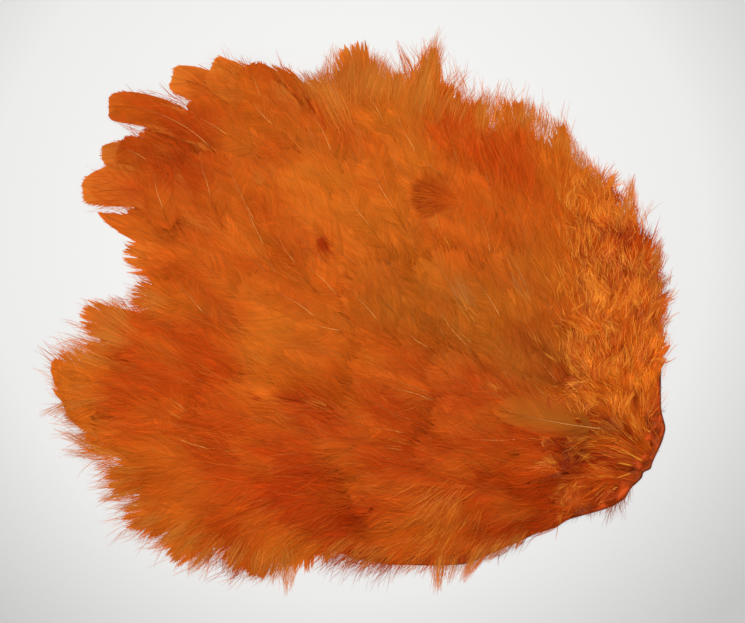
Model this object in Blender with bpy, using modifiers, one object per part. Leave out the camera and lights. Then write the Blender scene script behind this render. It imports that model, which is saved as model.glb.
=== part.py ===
"""A dyed hen saddle patch, as sold for fly tying: broad soft feathers lying on the dried skin they grew from.

The patch lies flat with its skin side down. The head end is at lower right, and every feather points away
from it, so the feathers are laid from the far rim inwards and each one rests on those placed before it.
Lengths here are in millimetres and headings in degrees anticlockwise from +X. Blender gets metres.
"""

import math

import bmesh
import bpy
import numpy as np

MM = 0.001

# The skin
SKIN_THICKNESS = 1.0
SKIN_OUTLINE = [
    (79.0, -10.0), (79.4, -22.0), (80.5, -30.5), (77.5, -39.0), (73.0, -46.5), (63.0, -54.0),
    (48.5, -57.0), (34.5, -62.0), (21.5, -65.5), (5.0, -68.0), (-12.0, -60.0), (-26.0, -42.0),
    (-30.0, -13.0), (-23.0, 16.0), (-5.0, 35.0), (20.0, 45.0), (45.0, 46.0), (64.0, 33.0), (75.0, 12.0),
]
HEAD = np.array((68.0, -40.0))  # the narrow end, which every feather points away from

# The feathers round the rim: tip x, tip y, the lie at the tip, length, width
RIM_FEATHERS = [
    (79.0, -6.5, 62, 15, 8),
    (78.5, 13.5, 70, 20, 9),
    (74.0, 33.0, 80, 26, 10),
    (54.0, 51.5, 92, 34, 13),
    (42.0, 57.5, 84, 38, 12),
    (32.5, 60.0, 80, 40, 12),
    (20.5, 70.5, 80, 50, 11),
    (9.5, 66.0, 90, 48, 13),
    (-1.5, 69.5, 100, 52, 15),
    (-13.0, 62.0, 122, 50, 14),
    (-25.5, 64.0, 148, 54, 14),
    (-38.5, 65.0, 155, 58, 14),
    (-48.5, 61.5, 166, 60, 14),
    (-65.0, 55.0, 166, 66, 15),
    (-67.0, 42.5, 178, 64, 14),
    (-71.5, 31.0, 190, 64, 15),
    (-61.5, 15.0, 168, 52, 13),
    (-60.5, 4.5, 178, 48, 14),
    (-73.0, 1.0, 152, 58, 14),
    (-80.0, -12.0, 140, 62, 15),
    (-81.5, -25.5, 183, 62, 15),
    (-79.5, -35.0, 190, 60, 14),
    (-71.0, -47.0, 196, 56, 14),
    (-63.5, -57.0, 206, 54, 14),
    (-51.0, -65.5, 220, 50, 14),
    (-37.0, -69.5, 236, 46, 14),
    (-19.0, -70.5, 256, 42, 15),
    (-2.5, -68.5, 218, 38, 12),
    (20.0, -70.5, 252, 26, 10),
    (31.0, -66.5, 236, 24, 9),
]

# How the feathers lie inside the patch: x, y, the direction in which they point
LIE = [
    (76.0, -20.0, 70), (66.0, -8.0, 92), (63.0, 12.0, 92), (46.5, -9.5, 115), (52.0, 34.0, 95),
    (37.0, 29.0, 105), (21.5, -2.0, 120), (19.0, 47.0, 100), (-2.0, 47.0, 116), (-2.0, 3.0, 140),
    (-22.0, 46.0, 138), (-40.0, 42.0, 150), (-33.0, 16.0, 142), (-46.0, -5.0, 152), (-54.0, -23.0, 168),
    (-28.0, -23.0, 160), (4.5, -18.0, 148), (25.5, -22.0, 156), (55.0, -30.0, 160), (47.0, -43.0, 195),
    (11.0, -44.0, 182), (-15.0, -44.0, 187), (-46.0, -44.0, 196), (-28.0, -57.0, 224), (24.0, -52.0, 212),
    (60.0, -45.0, 205),
]
LIE_SOFTNESS = 6.0  # within this distance the nearest heading no longer takes over

# The rows inside the rim, each a copy of the rim drawn in towards the head end
ROW_SHARES = [0.74, 0.53, 0.36, 0.22]
SPACING_SHARE = 0.24  # the least distance between two tips, as a share of their distance from the head end
LEAST_SPACING = 11.0
LENGTH_SHARE = 0.6  # an inner feather's length, as a share of the same distance
LONGEST, SHORTEST = 54.0, 12.0
WIDTH_SHARE = 0.4
WIDEST = 18.0

# A feather's form
VANE_THICKNESS = 0.6
CROWN = 0.5  # how far the shaft stands above the vane's edges
QUILL_WIDTH = 1.6
QUILL_SHARE = 0.13  # the bare share of the length at the root
TIP_SHARE = 0.4  # how much of the widest width the blunt tip keeps
TIP_ROUNDING = 0.7
VANE_SEGMENTS = 10
GAP = 0.3  # clear space between a feather and whatever it rests on

# The pile of feathers is measured on a square grid of heights
CELL = 0.5
GRID_X, GRID_Y = (-100.0, 100.0), (-90.0, 90.0)

ORANGE = (0.62, 0.16, 0.015, 1.0)
RUST = (0.42, 0.075, 0.01, 1.0)
TANNED = (0.48, 0.11, 0.015, 1.0)


def unit(heading):
    return np.array((math.cos(math.radians(heading)), math.sin(math.radians(heading))))


def lie_at(point):
    """The direction in which feathers lie here: the guides' and the rim's headings, weighed by nearness."""
    guides = LIE + [(x, y, heading) for x, y, heading, _, _ in RIM_FEATHERS]
    total = np.zeros(2)
    for x, y, heading in guides:
        distance = math.hypot(point[0] - x, point[1] - y)
        total += unit(heading) / (distance**2 + LIE_SOFTNESS**2) ** 1.5
    return total / np.linalg.norm(total)


def traced_back(tip, distance, steps):
    """Points from the root to the tip of a line that follows the lie of the feathers."""
    points = [np.array(tip, float)]
    for _ in range(steps):
        points.append(points[-1] - lie_at(points[-1]) * distance / steps)
    return points[::-1]


def from_head(point):
    return float(np.linalg.norm(np.asarray(point) - HEAD))


def on_skin(x, y):
    """Whether each place is over the skin, from how often its line towards +X crosses the outline."""
    inside = np.zeros(np.shape(x), bool)
    for (ax, ay), (bx, by) in zip(SKIN_OUTLINE, SKIN_OUTLINE[1:] + SKIN_OUTLINE[:1]):
        crossing = ax + (y - ay) * (bx - ax) / (by - ay)
        inside ^= ((y < ay) != (y < by)) & (x < crossing)
    return inside


def inner_feathers():
    """The rows inside the rim: the tip, length and width of each feather, thinned where they would crowd."""
    rim = [np.array((x, y)) for x, y, _, _, _ in RIM_FEATHERS]
    between = [(one + other) / 2 for one, other in zip(rim, rim[1:])]
    placed, rows = list(rim), []
    for number, share in enumerate(ROW_SHARES):
        found = []
        for outer in rim if number % 2 else between:
            tip = HEAD + (outer - HEAD) * share
            spacing = max(LEAST_SPACING, SPACING_SHARE * from_head(tip))
            length = min(max(LENGTH_SHARE * from_head(tip), SHORTEST), LONGEST)
            crowded = min(np.linalg.norm(tip - other) for other in placed) < spacing
            if crowded or not on_skin(*traced_back(tip, length, VANE_SEGMENTS)[0]):
                continue
            placed.append(tip)
            found.append((*tip, length, min(WIDTH_SHARE * length, WIDEST)))
        rows.append(found)
    return rows


def half_width(share, width):
    """Half the feather's width at this share of its length: a bare quill, a swelling vane and a blunt tip."""
    if share <= QUILL_SHARE:
        return QUILL_WIDTH / 2
    along = (share - QUILL_SHARE) / (1 - QUILL_SHARE)
    swell = math.sin(math.pi / 2 * min(1.0, along / 0.5)) ** 0.8
    blunt = 1 - (1 - TIP_SHARE) * max(0.0, (along - 0.62) / 0.38) ** 2.2
    return QUILL_WIDTH / 2 + (width - QUILL_WIDTH) / 2 * swell * blunt


class Pile:
    """The height of everything laid so far, on a grid of cells."""

    def __init__(self):
        self.x, self.y = np.meshgrid(np.arange(*GRID_X, CELL), np.arange(*GRID_Y, CELL))
        self.height = np.zeros_like(self.x)

    def across(self, start, end, reach):
        """The cells within reach of the line from start to end, and how far across it each lies."""
        line = end - start
        length = np.linalg.norm(line)
        along = ((self.x - start[0]) * line[0] + (self.y - start[1]) * line[1]) / length
        side = np.abs((self.x - start[0]) * line[1] - (self.y - start[1]) * line[0]) / length
        near = (along > -CELL) & (along < length + CELL) & (side < reach + CELL)
        return near, side[near]

    def support(self, start, end, reach):
        """The lowest height at which a cambered vane clears everything under this stretch of it."""
        near, side = self.across(start, end, reach)
        crown = CROWN * np.clip(1 - side / reach, 0, 1)
        return float((self.height[near] - crown).max()) + GAP + VANE_THICKNESS

    def add(self, start, end, reach, top):
        near, side = self.across(start, end, reach)
        crown = CROWN * np.clip(1 - side / reach, 0, 1)
        self.height[near] = np.maximum(self.height[near], top + crown)

    def add_skin(self):
        self.height[on_skin(self.x, self.y)] = SKIN_THICKNESS


def stiffened(heights):
    """The heights of a springy rod that lies over these and never dips below them."""
    heights = list(heights)
    for _ in range(len(heights)):
        for i in range(1, len(heights) - 1):
            heights[i] = max(heights[i], (heights[i - 1] + heights[i + 1]) / 2)
    return heights


def laid(pile, points, width):
    """The height of the vane's edge at each point of a feather laid on the pile, which it then joins."""
    last = len(points) - 1
    reach = [half_width(i / last, width) for i in range(last + 1)]
    over = [
        pile.support(points[i], points[i + 1], max(reach[i], reach[i + 1]))
        for i in range(last)
    ]
    heights = [max(over[max(i - 1, 0)], over[min(i, last - 1)]) for i in range(last + 1)]
    heights = stiffened(heights)
    for i in range(last):
        top = max(heights[i], heights[i + 1])
        pile.add(points[i], points[i + 1], max(reach[i], reach[i + 1]), top)
    return heights


def material(name, colour, roughness):
    made = bpy.data.materials.new(name)
    made.use_nodes = True
    shader = made.node_tree.nodes["Principled BSDF"]
    shader.inputs["Base Color"].default_value = colour
    shader.inputs["Roughness"].default_value = roughness
    shader.inputs["Metallic"].default_value = 0.0
    return made


def feather(name, points, width, heights, finish, collection):
    """A unit grid bent onto the feather's line, with the shaft standing proud, and given its thickness."""
    mesh = bpy.data.meshes.new(name)
    shape = bmesh.new()
    bmesh.ops.create_grid(shape, x_segments=VANE_SEGMENTS, y_segments=2, size=1.0)
    directions = np.gradient(np.array(points), axis=0)
    for vertex in shape.verts:
        share, side = (vertex.co.x + 1) / 2, vertex.co.y
        station = round(share * VANE_SEGMENTS)
        along = directions[station] / np.linalg.norm(directions[station])
        left = np.array((-along[1], along[0]))
        reach = half_width(share, width)
        x, y = points[station] + side * reach * left
        if station == VANE_SEGMENTS:
            x, y = (x, y) - along * reach * TIP_ROUNDING * abs(side)
        z = heights[station] + CROWN * (1 - abs(side))
        vertex.co = (x * MM, y * MM, z * MM)
    shape.to_mesh(mesh)
    shape.free()
    made = bpy.data.objects.new(name, mesh)
    collection.objects.link(made)
    mesh.materials.append(finish)
    solidify = made.modifiers.new("vane thickness", "SOLIDIFY")
    solidify.thickness = VANE_THICKNESS * MM
    solidify.offset = -1.0
    return made


def skin(collection):
    """The dried skin: its flat outline, extruded to its thickness."""
    curve = bpy.data.curves.new("skin", "CURVE")
    curve.dimensions = "2D"
    curve.fill_mode = "BOTH"
    curve.extrude = SKIN_THICKNESS / 2 * MM
    spline = curve.splines.new("POLY")
    spline.points.add(len(SKIN_OUTLINE) - 1)
    for point, (x, y) in zip(spline.points, SKIN_OUTLINE):
        point.co = (x * MM, y * MM, 0.0, 1.0)
    spline.use_cyclic_u = True
    made = bpy.data.objects.new("skin", curve)
    made.location.z = SKIN_THICKNESS / 2 * MM
    collection.objects.link(made)
    curve.materials.append(material("dried skin", TANNED, 0.55))
    return made


def main():
    for old in list(bpy.data.objects):
        bpy.data.objects.remove(old)
    patch = bpy.data.collections.new("hen saddle patch")
    bpy.context.scene.collection.children.link(patch)
    skin(patch)

    finishes = [material("rim feather", ORANGE, 0.7), material("saddle feather", RUST, 0.7)]
    rim = [(x, y, length, width) for x, y, _, length, width in RIM_FEATHERS]
    pile = Pile()
    pile.add_skin()
    for row, feathers in enumerate([rim] + inner_feathers()):
        place = f"row{row}" if row else "rim"
        for first in (0, 1):  # every second feather is laid first, and the others rest over the gaps
            for number in range(first, len(feathers), 2):
                x, y, length, width = feathers[number]
                points = traced_back((x, y), length, VANE_SEGMENTS)
                name = f"{place}_feather_{number + 1:02d}"
                feather(name, points, width, laid(pile, points, width), finishes[min(row, 1)], patch)


main()
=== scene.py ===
"""The looks of a dyed orange hen saddle patch: feathers with shafts and barbs, loose down and dried skin.

Lengths are in millimetres until a mesh is made, which is in metres. Headings run anticlockwise from +X, in
degrees in the tables and in radians elsewhere.
The feathers' places repeat the solids' layout, and their heights are read from the solids.
"""

import math

import bpy
import numpy as np
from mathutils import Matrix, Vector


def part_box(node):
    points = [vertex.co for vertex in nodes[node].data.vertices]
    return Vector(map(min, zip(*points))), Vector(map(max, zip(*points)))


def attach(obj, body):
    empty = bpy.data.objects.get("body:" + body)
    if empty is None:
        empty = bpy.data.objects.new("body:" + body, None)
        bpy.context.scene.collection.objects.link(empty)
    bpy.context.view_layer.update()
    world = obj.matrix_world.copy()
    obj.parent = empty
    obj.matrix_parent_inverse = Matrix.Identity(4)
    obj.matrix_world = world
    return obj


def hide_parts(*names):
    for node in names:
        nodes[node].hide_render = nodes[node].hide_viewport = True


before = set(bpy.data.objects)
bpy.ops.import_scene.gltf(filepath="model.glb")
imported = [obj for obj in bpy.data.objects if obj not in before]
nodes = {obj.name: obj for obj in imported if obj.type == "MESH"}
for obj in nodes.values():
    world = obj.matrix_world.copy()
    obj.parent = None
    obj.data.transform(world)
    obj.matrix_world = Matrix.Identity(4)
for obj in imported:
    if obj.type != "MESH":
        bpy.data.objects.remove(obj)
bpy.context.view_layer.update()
random = np.random.default_rng(11)

MM = 0.001

# The layout of the solids

SKIN_OUTLINE = [
    (79.0, -10.0), (79.4, -22.0), (80.5, -30.5), (77.5, -39.0), (73.0, -46.5), (63.0, -54.0),
    (48.5, -57.0), (34.5, -62.0), (21.5, -65.5), (5.0, -68.0), (-12.0, -60.0), (-26.0, -42.0),
    (-30.0, -13.0), (-23.0, 16.0), (-5.0, 35.0), (20.0, 45.0), (45.0, 46.0), (64.0, 33.0), (75.0, 12.0),
]
HEAD = np.array((68.0, -40.0))  # the narrow end, which every feather points away from

# The feathers round the rim: tip x, tip y, the lie at the tip, length, width
RIM_FEATHERS = [
    (79.0, -6.5, 62, 15, 8),
    (78.5, 13.5, 70, 20, 9),
    (74.0, 33.0, 80, 26, 10),
    (54.0, 51.5, 92, 34, 13),
    (42.0, 57.5, 84, 38, 12),
    (32.5, 60.0, 80, 40, 12),
    (20.5, 70.5, 80, 50, 11),
    (9.5, 66.0, 90, 48, 13),
    (-1.5, 69.5, 100, 52, 15),
    (-13.0, 62.0, 122, 50, 14),
    (-25.5, 64.0, 148, 54, 14),
    (-38.5, 65.0, 155, 58, 14),
    (-48.5, 61.5, 166, 60, 14),
    (-65.0, 55.0, 166, 66, 15),
    (-67.0, 42.5, 178, 64, 14),
    (-71.5, 31.0, 190, 64, 15),
    (-61.5, 15.0, 168, 52, 13),
    (-60.5, 4.5, 178, 48, 14),
    (-73.0, 1.0, 152, 58, 14),
    (-80.0, -12.0, 140, 62, 15),
    (-81.5, -25.5, 183, 62, 15),
    (-79.5, -35.0, 190, 60, 14),
    (-71.0, -47.0, 196, 56, 14),
    (-63.5, -57.0, 206, 54, 14),
    (-51.0, -65.5, 220, 50, 14),
    (-37.0, -69.5, 236, 46, 14),
    (-19.0, -70.5, 256, 42, 15),
    (-2.5, -68.5, 218, 38, 12),
    (20.0, -70.5, 252, 26, 10),
    (31.0, -66.5, 236, 24, 9),
]

# How the feathers lie inside the patch: x, y, the direction in which they point
LIE = [
    (76.0, -20.0, 70), (66.0, -8.0, 92), (63.0, 12.0, 92), (46.5, -9.5, 115), (52.0, 34.0, 95),
    (37.0, 29.0, 105), (21.5, -2.0, 120), (19.0, 47.0, 100), (-2.0, 47.0, 116), (-2.0, 3.0, 140),
    (-22.0, 46.0, 138), (-40.0, 42.0, 150), (-33.0, 16.0, 142), (-46.0, -5.0, 152), (-54.0, -23.0, 168),
    (-28.0, -23.0, 160), (4.5, -18.0, 148), (25.5, -22.0, 156), (55.0, -30.0, 160), (47.0, -43.0, 195),
    (11.0, -44.0, 182), (-15.0, -44.0, 187), (-46.0, -44.0, 196), (-28.0, -57.0, 224), (24.0, -52.0, 212),
    (60.0, -45.0, 205),
]
LIE_SOFTNESS = 6.0  # within this distance the nearest heading no longer takes over
GUIDES = np.array(LIE + [(x, y, heading) for x, y, heading, _, _ in RIM_FEATHERS], float)

# The rows inside the rim, each a copy of the rim drawn in towards the head end
ROW_SHARES = [0.74, 0.53, 0.36, 0.22]
SPACING_SHARE = 0.24  # the least distance between two tips, as a share of their distance from the head end
LEAST_SPACING = 11.0
LENGTH_SHARE = 0.6  # an inner feather's length, as a share of the same distance
LONGEST, SHORTEST = 54.0, 12.0
WIDTH_SHARE = 0.4
WIDEST = 18.0
VANE_SEGMENTS = 10
QUILL_SHARE = 0.13  # the bare share of the length at the root

# Dyes, in linear light
GOLD = np.array((0.71, 0.172, 0.011))
ORANGE = np.array((0.66, 0.120, 0.007))
EMBER = np.array((0.62, 0.069, 0.003))
RUST = np.array((0.54, 0.058, 0.003))
DEEP = np.array((0.43, 0.029, 0.001))
OLIVE = np.array((0.53, 0.122, 0.007))
BROWN = np.array((0.42, 0.076, 0.005))
DUSK = np.array((0.36, 0.085, 0.009))
KHAKI = np.array((0.48, 0.118, 0.010))
FRINGE = np.array((0.68, 0.225, 0.030))
BLAZE = np.array((0.82, 0.170, 0.008))
PALE = np.array((1.0, 0.53, 0.14))
# Pale gold: the quills' own colour, and the colour of painted highlights and glints on barbs and down
GOLD_AND_HIGHLIGHT = np.array((0.90, 0.36, 0.035))
# Dark red: for painted shade in the gaps and for the brush's dark tips
DARK_RED = np.array((0.20, 0.016, 0.002))
SKIN_RED = np.array((0.31, 0.034, 0.004))
# The colour of painted greyish sheens
PAINTED_SHEEN = np.array((0.50, 0.185, 0.045))

# Where the look changes: x, y, dye, looseness from 0 (closed) to 1 (fluff), duskiness of the vanes' middles
ZONES = [
    (-64, 55, ORANGE, 0.03, 0.1), (-64, 44, RUST * 0.88, 0.04, 0.2), (-68, 32, ORANGE, 0.04, 0.1),
    (-57, 49, RUST, 0.04, 0.1), (-46, 60, ORANGE * 1.05, 0.05, 0.1), (-30, 64, ORANGE, 0.15, 0.1),
    (-45, 46, RUST, 0.10, 0.1), (-57, 33, RUST, 0.1, 0.1), (-50, 36, RUST, 0.12, 0.1),
    (-25, 47, ORANGE, 0.18, 0.1), (-28, 29, ORANGE, 0.15, 0.1), (-56, 22, ORANGE, 0.30, 0.1),
    (-50, 8, ORANGE, 0.55, 0.1), (-10, 58, ORANGE, 0.45, 0.1), (-7, 45, ORANGE, 0.30, 0.1),
    (0, 67, GOLD, 0.60, 0.1), (12, 50, GOLD, 0.40, 0.0), (20, 66, GOLD, 0.85, 0.0),
    (26, 47, EMBER, 0.55, 0.0), (38, 52, GOLD, 0.85, 0.0), (38, 40, EMBER, 0.80, 0.1),
    (55, 44, GOLD, 0.90, 0.1), (13, 36, GOLD, 0.25, 0.0), (-12, 34, GOLD, 0.20, 0.1),
    (11, 21, GOLD, 0.20, 0.3), (22, 26, ORANGE, 0.25, 0.1), (-12, 12, ORANGE, 0.20, 0.1),
    (12, 5, OLIVE, 0.25, 0.2), (30, 22, ORANGE, 0.40, 0.2), (32, -2, OLIVE, 0.30, 0.4),
    (46, 6, OLIVE * 1.12, 0.40, 0.4), (44, -12, BROWN, 0.35, 0.4), (66, 17, DEEP * 1.2, 0.95, 0.0),
    (70, -6, DEEP * 1.2, 0.9, 0.0), (61, -27, DEEP, 0.9, 0.0), (62, 5, BLAZE * 0.8, 0.9, 0.0),
    (66, 26, BLAZE * 0.9, 0.95, 0.1), (73, 10, RUST, 0.95, 0.1), (68, 0, BLAZE, 0.95, 0.0),
    (72, -12, BLAZE, 0.95, 0.0), (66, -24, BLAZE * 0.95, 0.90, 0.1), (58, -35, DEEP, 0.80, 0.1),
    (60, -46, RUST, 0.85, 0.0), (44, -40, EMBER * 0.95, 0.60, 0.2), (28, -52, EMBER * 0.98, 0.85, 0.0),
    (38, -46, RUST * 0.92, 0.7, 0.0), (44, -50, DEEP, 0.80, 0.1), (18, -38, RUST, 0.45, 0.1),
    (14, -58, ORANGE * 1.02, 0.80, 0.0), (-5, -50, RUST, 0.70, 0.1), (-1, -56, DEEP * 1.15, 0.75, 0.0),
    (-16, -46, DEEP * 1.2, 0.6, 0.1), (-35, -58, RUST, 0.7, 0.1), (-59, 41, RUST * 0.88, 0.06, 0.1),
    (-15, -66, GOLD, 0.80, 0.0), (-30, -42, EMBER, 0.50, 0.1), (-41, -60, GOLD, 0.75, 0.0),
    (-52, -46, ORANGE * 0.98, 0.55, 0.1), (-64, -50, GOLD, 0.75, 0.0), (-76, -34, GOLD, 0.75, 0.0),
    (-76, -14, GOLD, 0.75, 0.1), (-72, 1, GOLD, 0.9, 0.0), (-58, -22, EMBER, 0.45, 0.1),
    (-60, -4, EMBER * 1.02, 0.45, 0.1), (-40, -12, EMBER, 0.40, 0.1), (-38, 6, ORANGE, 0.25, 0.1),
    (-20, -10, GOLD * 0.98, 0.20, 0.0), (0, -12, ORANGE, 0.25, 0.1), (-12, -30, RUST, 0.45, 0.1),
    (12, -24, RUST, 0.30, 0.0), (30, -24, RUST, 0.35, 0.3),
]
ZONE_PLACES = np.array([(x, y) for x, y, _, _, _ in ZONES], float)
ZONE_LOOKS = np.array([(*dye, looseness, dusk) for _, _, dye, looseness, dusk in ZONES])
ZONE_SOFTNESS = 5.0  # within this distance the nearest look no longer takes over

# How the rim feathers' vanes differ from the solids': left and right half's share of the width, shortening
RIM_VANES = [
    (0.8, 0.9, 0.3), (1.0, 0.7, 2.8), (1.0, 0.1, 7.5), (1.0, 0.25, 2.8), (1.0, 0.8, 2.5), (0.9, 0.6, 4.5),
    (1.0, 0.5, 1.5), (1.0, 1.0, 3.5), (1.0, 0.9, -0.5), (1.0, 0.5, 1.5), (1.0, 0.6, 0.5), (1.0, 0.4, 0.5),
    (0.62, 0.6, -0.5), (0.5, 0.3, 1.5), (1.1, 0.42, -0.4), (0.6, 0.9, -0.8), (0.9, 1.0, 0.3), (1.0, 0.9, 1.5),
    (0.9, 0.7, 1.0), (1.0, 1.0, 1.5), (1.0, 0.9, 5.0), (0.9, 0.9, 8.5), (0.9, 0.9, 6.0), (0.9, 0.9, 3.5),
    (1.0, 1.0, 2.0), (1.0, 1.0, 5.0), (1.0, 1.0, 4.0), (0.5, 0.6, 10.5), (0.9, 0.9, 9.5), (0.9, 0.9, 7.0),
]
# Tips that are rounder than those of the other closed rim feathers
ROUND_TIPS = {"rim_feather_15": 2.6, "rim_feather_16": 3.0}

# Shafts that stand out: x and y of the root's side, x and y of the tip's side, the vane's width
SHAFTS = [
    (-34, 46, -40.5, 50, 14), (-55, 39.5, -59.5, 42, 9), (-51, 27.5, -53, 34.5, 12),
    (-38.5, 30.5, -40.5, 37, 12), (-27, 24, -33, 36.5, 14), (-22.5, 49, -26, 52.5, 12),
    (-25.5, 56.5, -27, 60.5, 11), (-24.5, 17.5, -30.5, 31.5, 13), (-7, 28.5, -16, 34, 15),
    (9, 27.5, 4.5, 35.5, 13), (3, 22.5, -1.5, 28.5, 13), (16, 13, 14, 20.5, 11),
    (-16.5, 13, -20.5, 19.5, 13), (-6, 5, -11.5, 10.5, 13), (-11.5, -1, -19, 4, 14), (5, -2, 0.5, 3, 12),
    (21, -1.5, 14.5, 10.5, 12), (11, 10, 8, 13, 12), (34.5, 15, 32.5, 24, 10), (27, 4.5, 21.5, 14, 11),
    (37, -1.5, 32.5, 6, 10), (38.5, -6.5, 34.5, -2, 9), (50.5, -17, 42, -2, 10), (54.5, -10.5, 52.5, 1, 9),
    (32.5, -10, 25, -4, 11), (29, -9.5, 21, 0.5, 11), (25, -14, 21.5, -11.5, 11),
    (-39, -35.5, -49.5, -31.5, 14), (-45, -25.5, -47.5, -23.5, 12), (43.5, -32.5, 31.5, -33, 9),
    (60.5, -32, 47.5, -28.5, 9), (51.5, -18, 47.5, -13, 8), (10.5, -22, 2, -15, 12),
    (35, -27.5, 14.5, -19.5, 10), (22.5, 13, 20, 19, 10), (34.5, 32, 33, 36.5, 10),
    (19.4, -23, 9.8, -19.9, 9), (11, -31.3, 4.8, -30.3, 9), (18.1, -9.2, 13.1, -5.6, 10),
    (-5.1, -4.8, -12.4, -3, 12), (-40.5, 0, -46, 6, 12), (6.5, 50, 1.5, 58, 12), (15, 42, 10, 52, 12),
    (-7, 42, -11, 50, 12),
]

# Tufts at the rim: x, y, heading, length, root width, tip width, pairs of strands, bend in degrees
RIM_TUFTS = [
    (17.0, 57.0, 77, 17.5, 8.0, 1.5, 80, -4), (18.2, 58.5, 76, 12.0, 4.0, 2.0, 50, -3),
    (4.5, 60.5, 72, 6.5, 6.0, 5.0, 36, 0), (9.5, 59.5, 82, 5.5, 6.0, 6.0, 36, 0),
    (26.0, 52.5, 76, 6.5, 6.0, 6.0, 30, -12), (22.5, 54.5, 68, 12.0, 3.0, 5.0, 20, -30),
    (34.0, 50.5, 82, 8.5, 8.0, 8.0, 44, -10), (42.0, 50.0, 74, 6.5, 6.0, 8.0, 24, -15),
    (43.5, 50.5, 76, 6.5, 4.0, 3.5, 26, 0), (33.0, 51.5, 80, 7.5, 4.0, 3.0, 26, 0),
    (46.0, 50.0, 86, 5.0, 6.0, 5.0, 36, 0), (50.5, 45.5, 82, 6.0, 6.0, 4.0, 34, 0),
    (54.0, 43.5, 80, 4.0, 4.0, 3.0, 26, 0), (58.0, 38.0, 72, 5.0, 5.0, 4.0, 34, 0),
    (62.5, 32.5, 75, 4.5, 5.0, 4.0, 30, 0), (71.0, 27.5, 80, 9.0, 3.0, 2.0, 40, 0),
    (9.8, 56.5, 84, 7.5, 6.0, 5.0, 36, -6), (5.0, 58.5, 76, 9.5, 6.0, 4.0, 40, -6),
    (-12.0, 57.0, 112, 7.0, 6.0, 5.0, 34, 0), (-8.0, 58.0, 104, 7.5, 5.0, 4.0, 30, 0),
    (3.5, 60.0, 76, 9.5, 5.0, 3.0, 26, -4), (48.8, 48.0, 84, 4.5, 5.0, 5.0, 20, -10),
    (-5.0, 58.5, 98, 12.0, 8.0, 3.0, 50, 0), (-1.0, 59.0, 90, 11.5, 8.0, 2.5, 46, -5),
    (2.5, 59.0, 80, 10.0, 7.0, 2.5, 34, -8), (-9.5, 57.5, 118, 5.5, 6.0, 6.0, 26, 10),
    (-5.5, 53.0, 112, 11.0, 7.0, 6.0, 60, 0), (7.0, 57.5, 80, 6.0, 7.0, 4.0, 20, -10),
    (12.4, 58.5, 72, 6.5, 3.0, 4.0, 10, -10), (-17.5, 57.5, 122, 4.5, 8.0, 9.0, 34, 0),
    (-31.9, 61.5, 128, 4.0, 6.0, 7.0, 12, 0), (73.0, 12.0, 60, 7.0, 3.0, 2.5, 14, -10),
    (78.2, 6.5, 38, 5.5, 2.5, 2.5, 18, 0), (77.5, 14.0, 62, 6.0, 3.0, 2.0, 18, 0),
    (78.0, 11.0, 55, 6.5, 2.0, 2.5, 16, 20), (78.0, 4.5, 70, 6.0, 2.0, 1.5, 10, 10),
    (78.5, -4.0, 25, 5.0, 2.0, 2.5, 7, 0), (78.5, -6.5, -5, 4.5, 2.0, 3.0, 7, 10),
    (69.0, 24.0, 78, 7.0, 4.0, 3.0, 26, -5), (61.0, 34.0, 82, 5.0, 4.0, 4.0, 18, 0),
    (55.5, 41.0, 78, 5.5, 4.0, 3.0, 16, 0), (-72.0, -23.6, 188, 13.0, 2.5, 2.0, 18, 24),
    (-72.5, -20.0, 184, 6.5, 3.0, 4.0, 8, 10), (-67.5, -35.8, 160, 13.5, 2.5, 0.8, 20, -2),
    (-66.0, -37.0, 179, 14.0, 2.5, 0.8, 12, 0), (-59.5, -41.2, 180, 10.0, 2.5, 0.8, 12, 0),
    (-60.5, -44.6, 189, 10.0, 2.5, 0.8, 12, 0), (-60.5, -47.4, 196, 9.0, 3.0, 1.2, 22, 0),
    (-56.0, -50.0, 196, 8.0, 3.5, 1.2, 22, 0), (-52.6, -54.0, 203, 8.5, 3.5, 1.2, 26, 0),
    (-47.0, -58.0, 212, 6.0, 3.5, 2.0, 18, 0), (-47.0, -57.5, 214, 10.0, 4.0, 1.5, 30, 6),
    (-43.0, -60.0, 220, 9.0, 4.0, 1.5, 26, 6), (-38.5, -61.5, 228, 10.0, 5.0, 3.0, 34, 8),
    (-31.0, -62.5, 240, 8.5, 6.0, 4.0, 34, 8), (-25.0, -64.0, 258, 7.5, 4.0, 4.0, 24, 0),
    (-21.5, -65.0, 260, 7.0, 4.0, 3.0, 22, 0), (-18.6, -64.6, 272, 10.5, 4.5, 2.5, 34, 0),
    (1.0, -62.5, 220, 8.0, 3.5, 2.5, 18, 6), (-5.0, -61.5, 216, 8.0, 3.5, 2.0, 18, 6),
    (4.5, -63.5, 222, 7.5, 3.5, 2.0, 18, 6), (8.0, -63.5, 226, 4.5, 4.0, 3.0, 12, 0),
    (14.0, -65.5, 240, 4.5, 5.0, 5.0, 12, 0), (21.6, -65.0, 262, 9.5, 3.5, 1.5, 36, 6),
    (25.0, -65.5, 258, 6.5, 3.0, 3.0, 16, 0), (32.0, -62.5, 238, 10.0, 4.0, 1.5, 50, 6),
    (37.0, -60.5, 236, 6.5, 4.0, 2.5, 34, 0), (42.0, -58.0, 238, 5.5, 4.0, 3.0, 24, 0),
    (-69.5, -12.0, 160, 10.0, 4.0, 4.0, 36, 0), (-64.0, -7.0, 160, 9.5, 4.0, 4.0, 36, 0),
    (-53.0, 2.5, 160, 8.5, 5.0, 5.0, 40, 0), (-63.0, -4.0, 146, 11.0, 6.0, 7.0, 60, 0),
    (-62.0, -0.5, 138, 6.0, 4.0, 5.0, 40, 0), (-66.0, -8.0, 165, 9.0, 5.0, 7.0, 44, 0),
]

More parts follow.
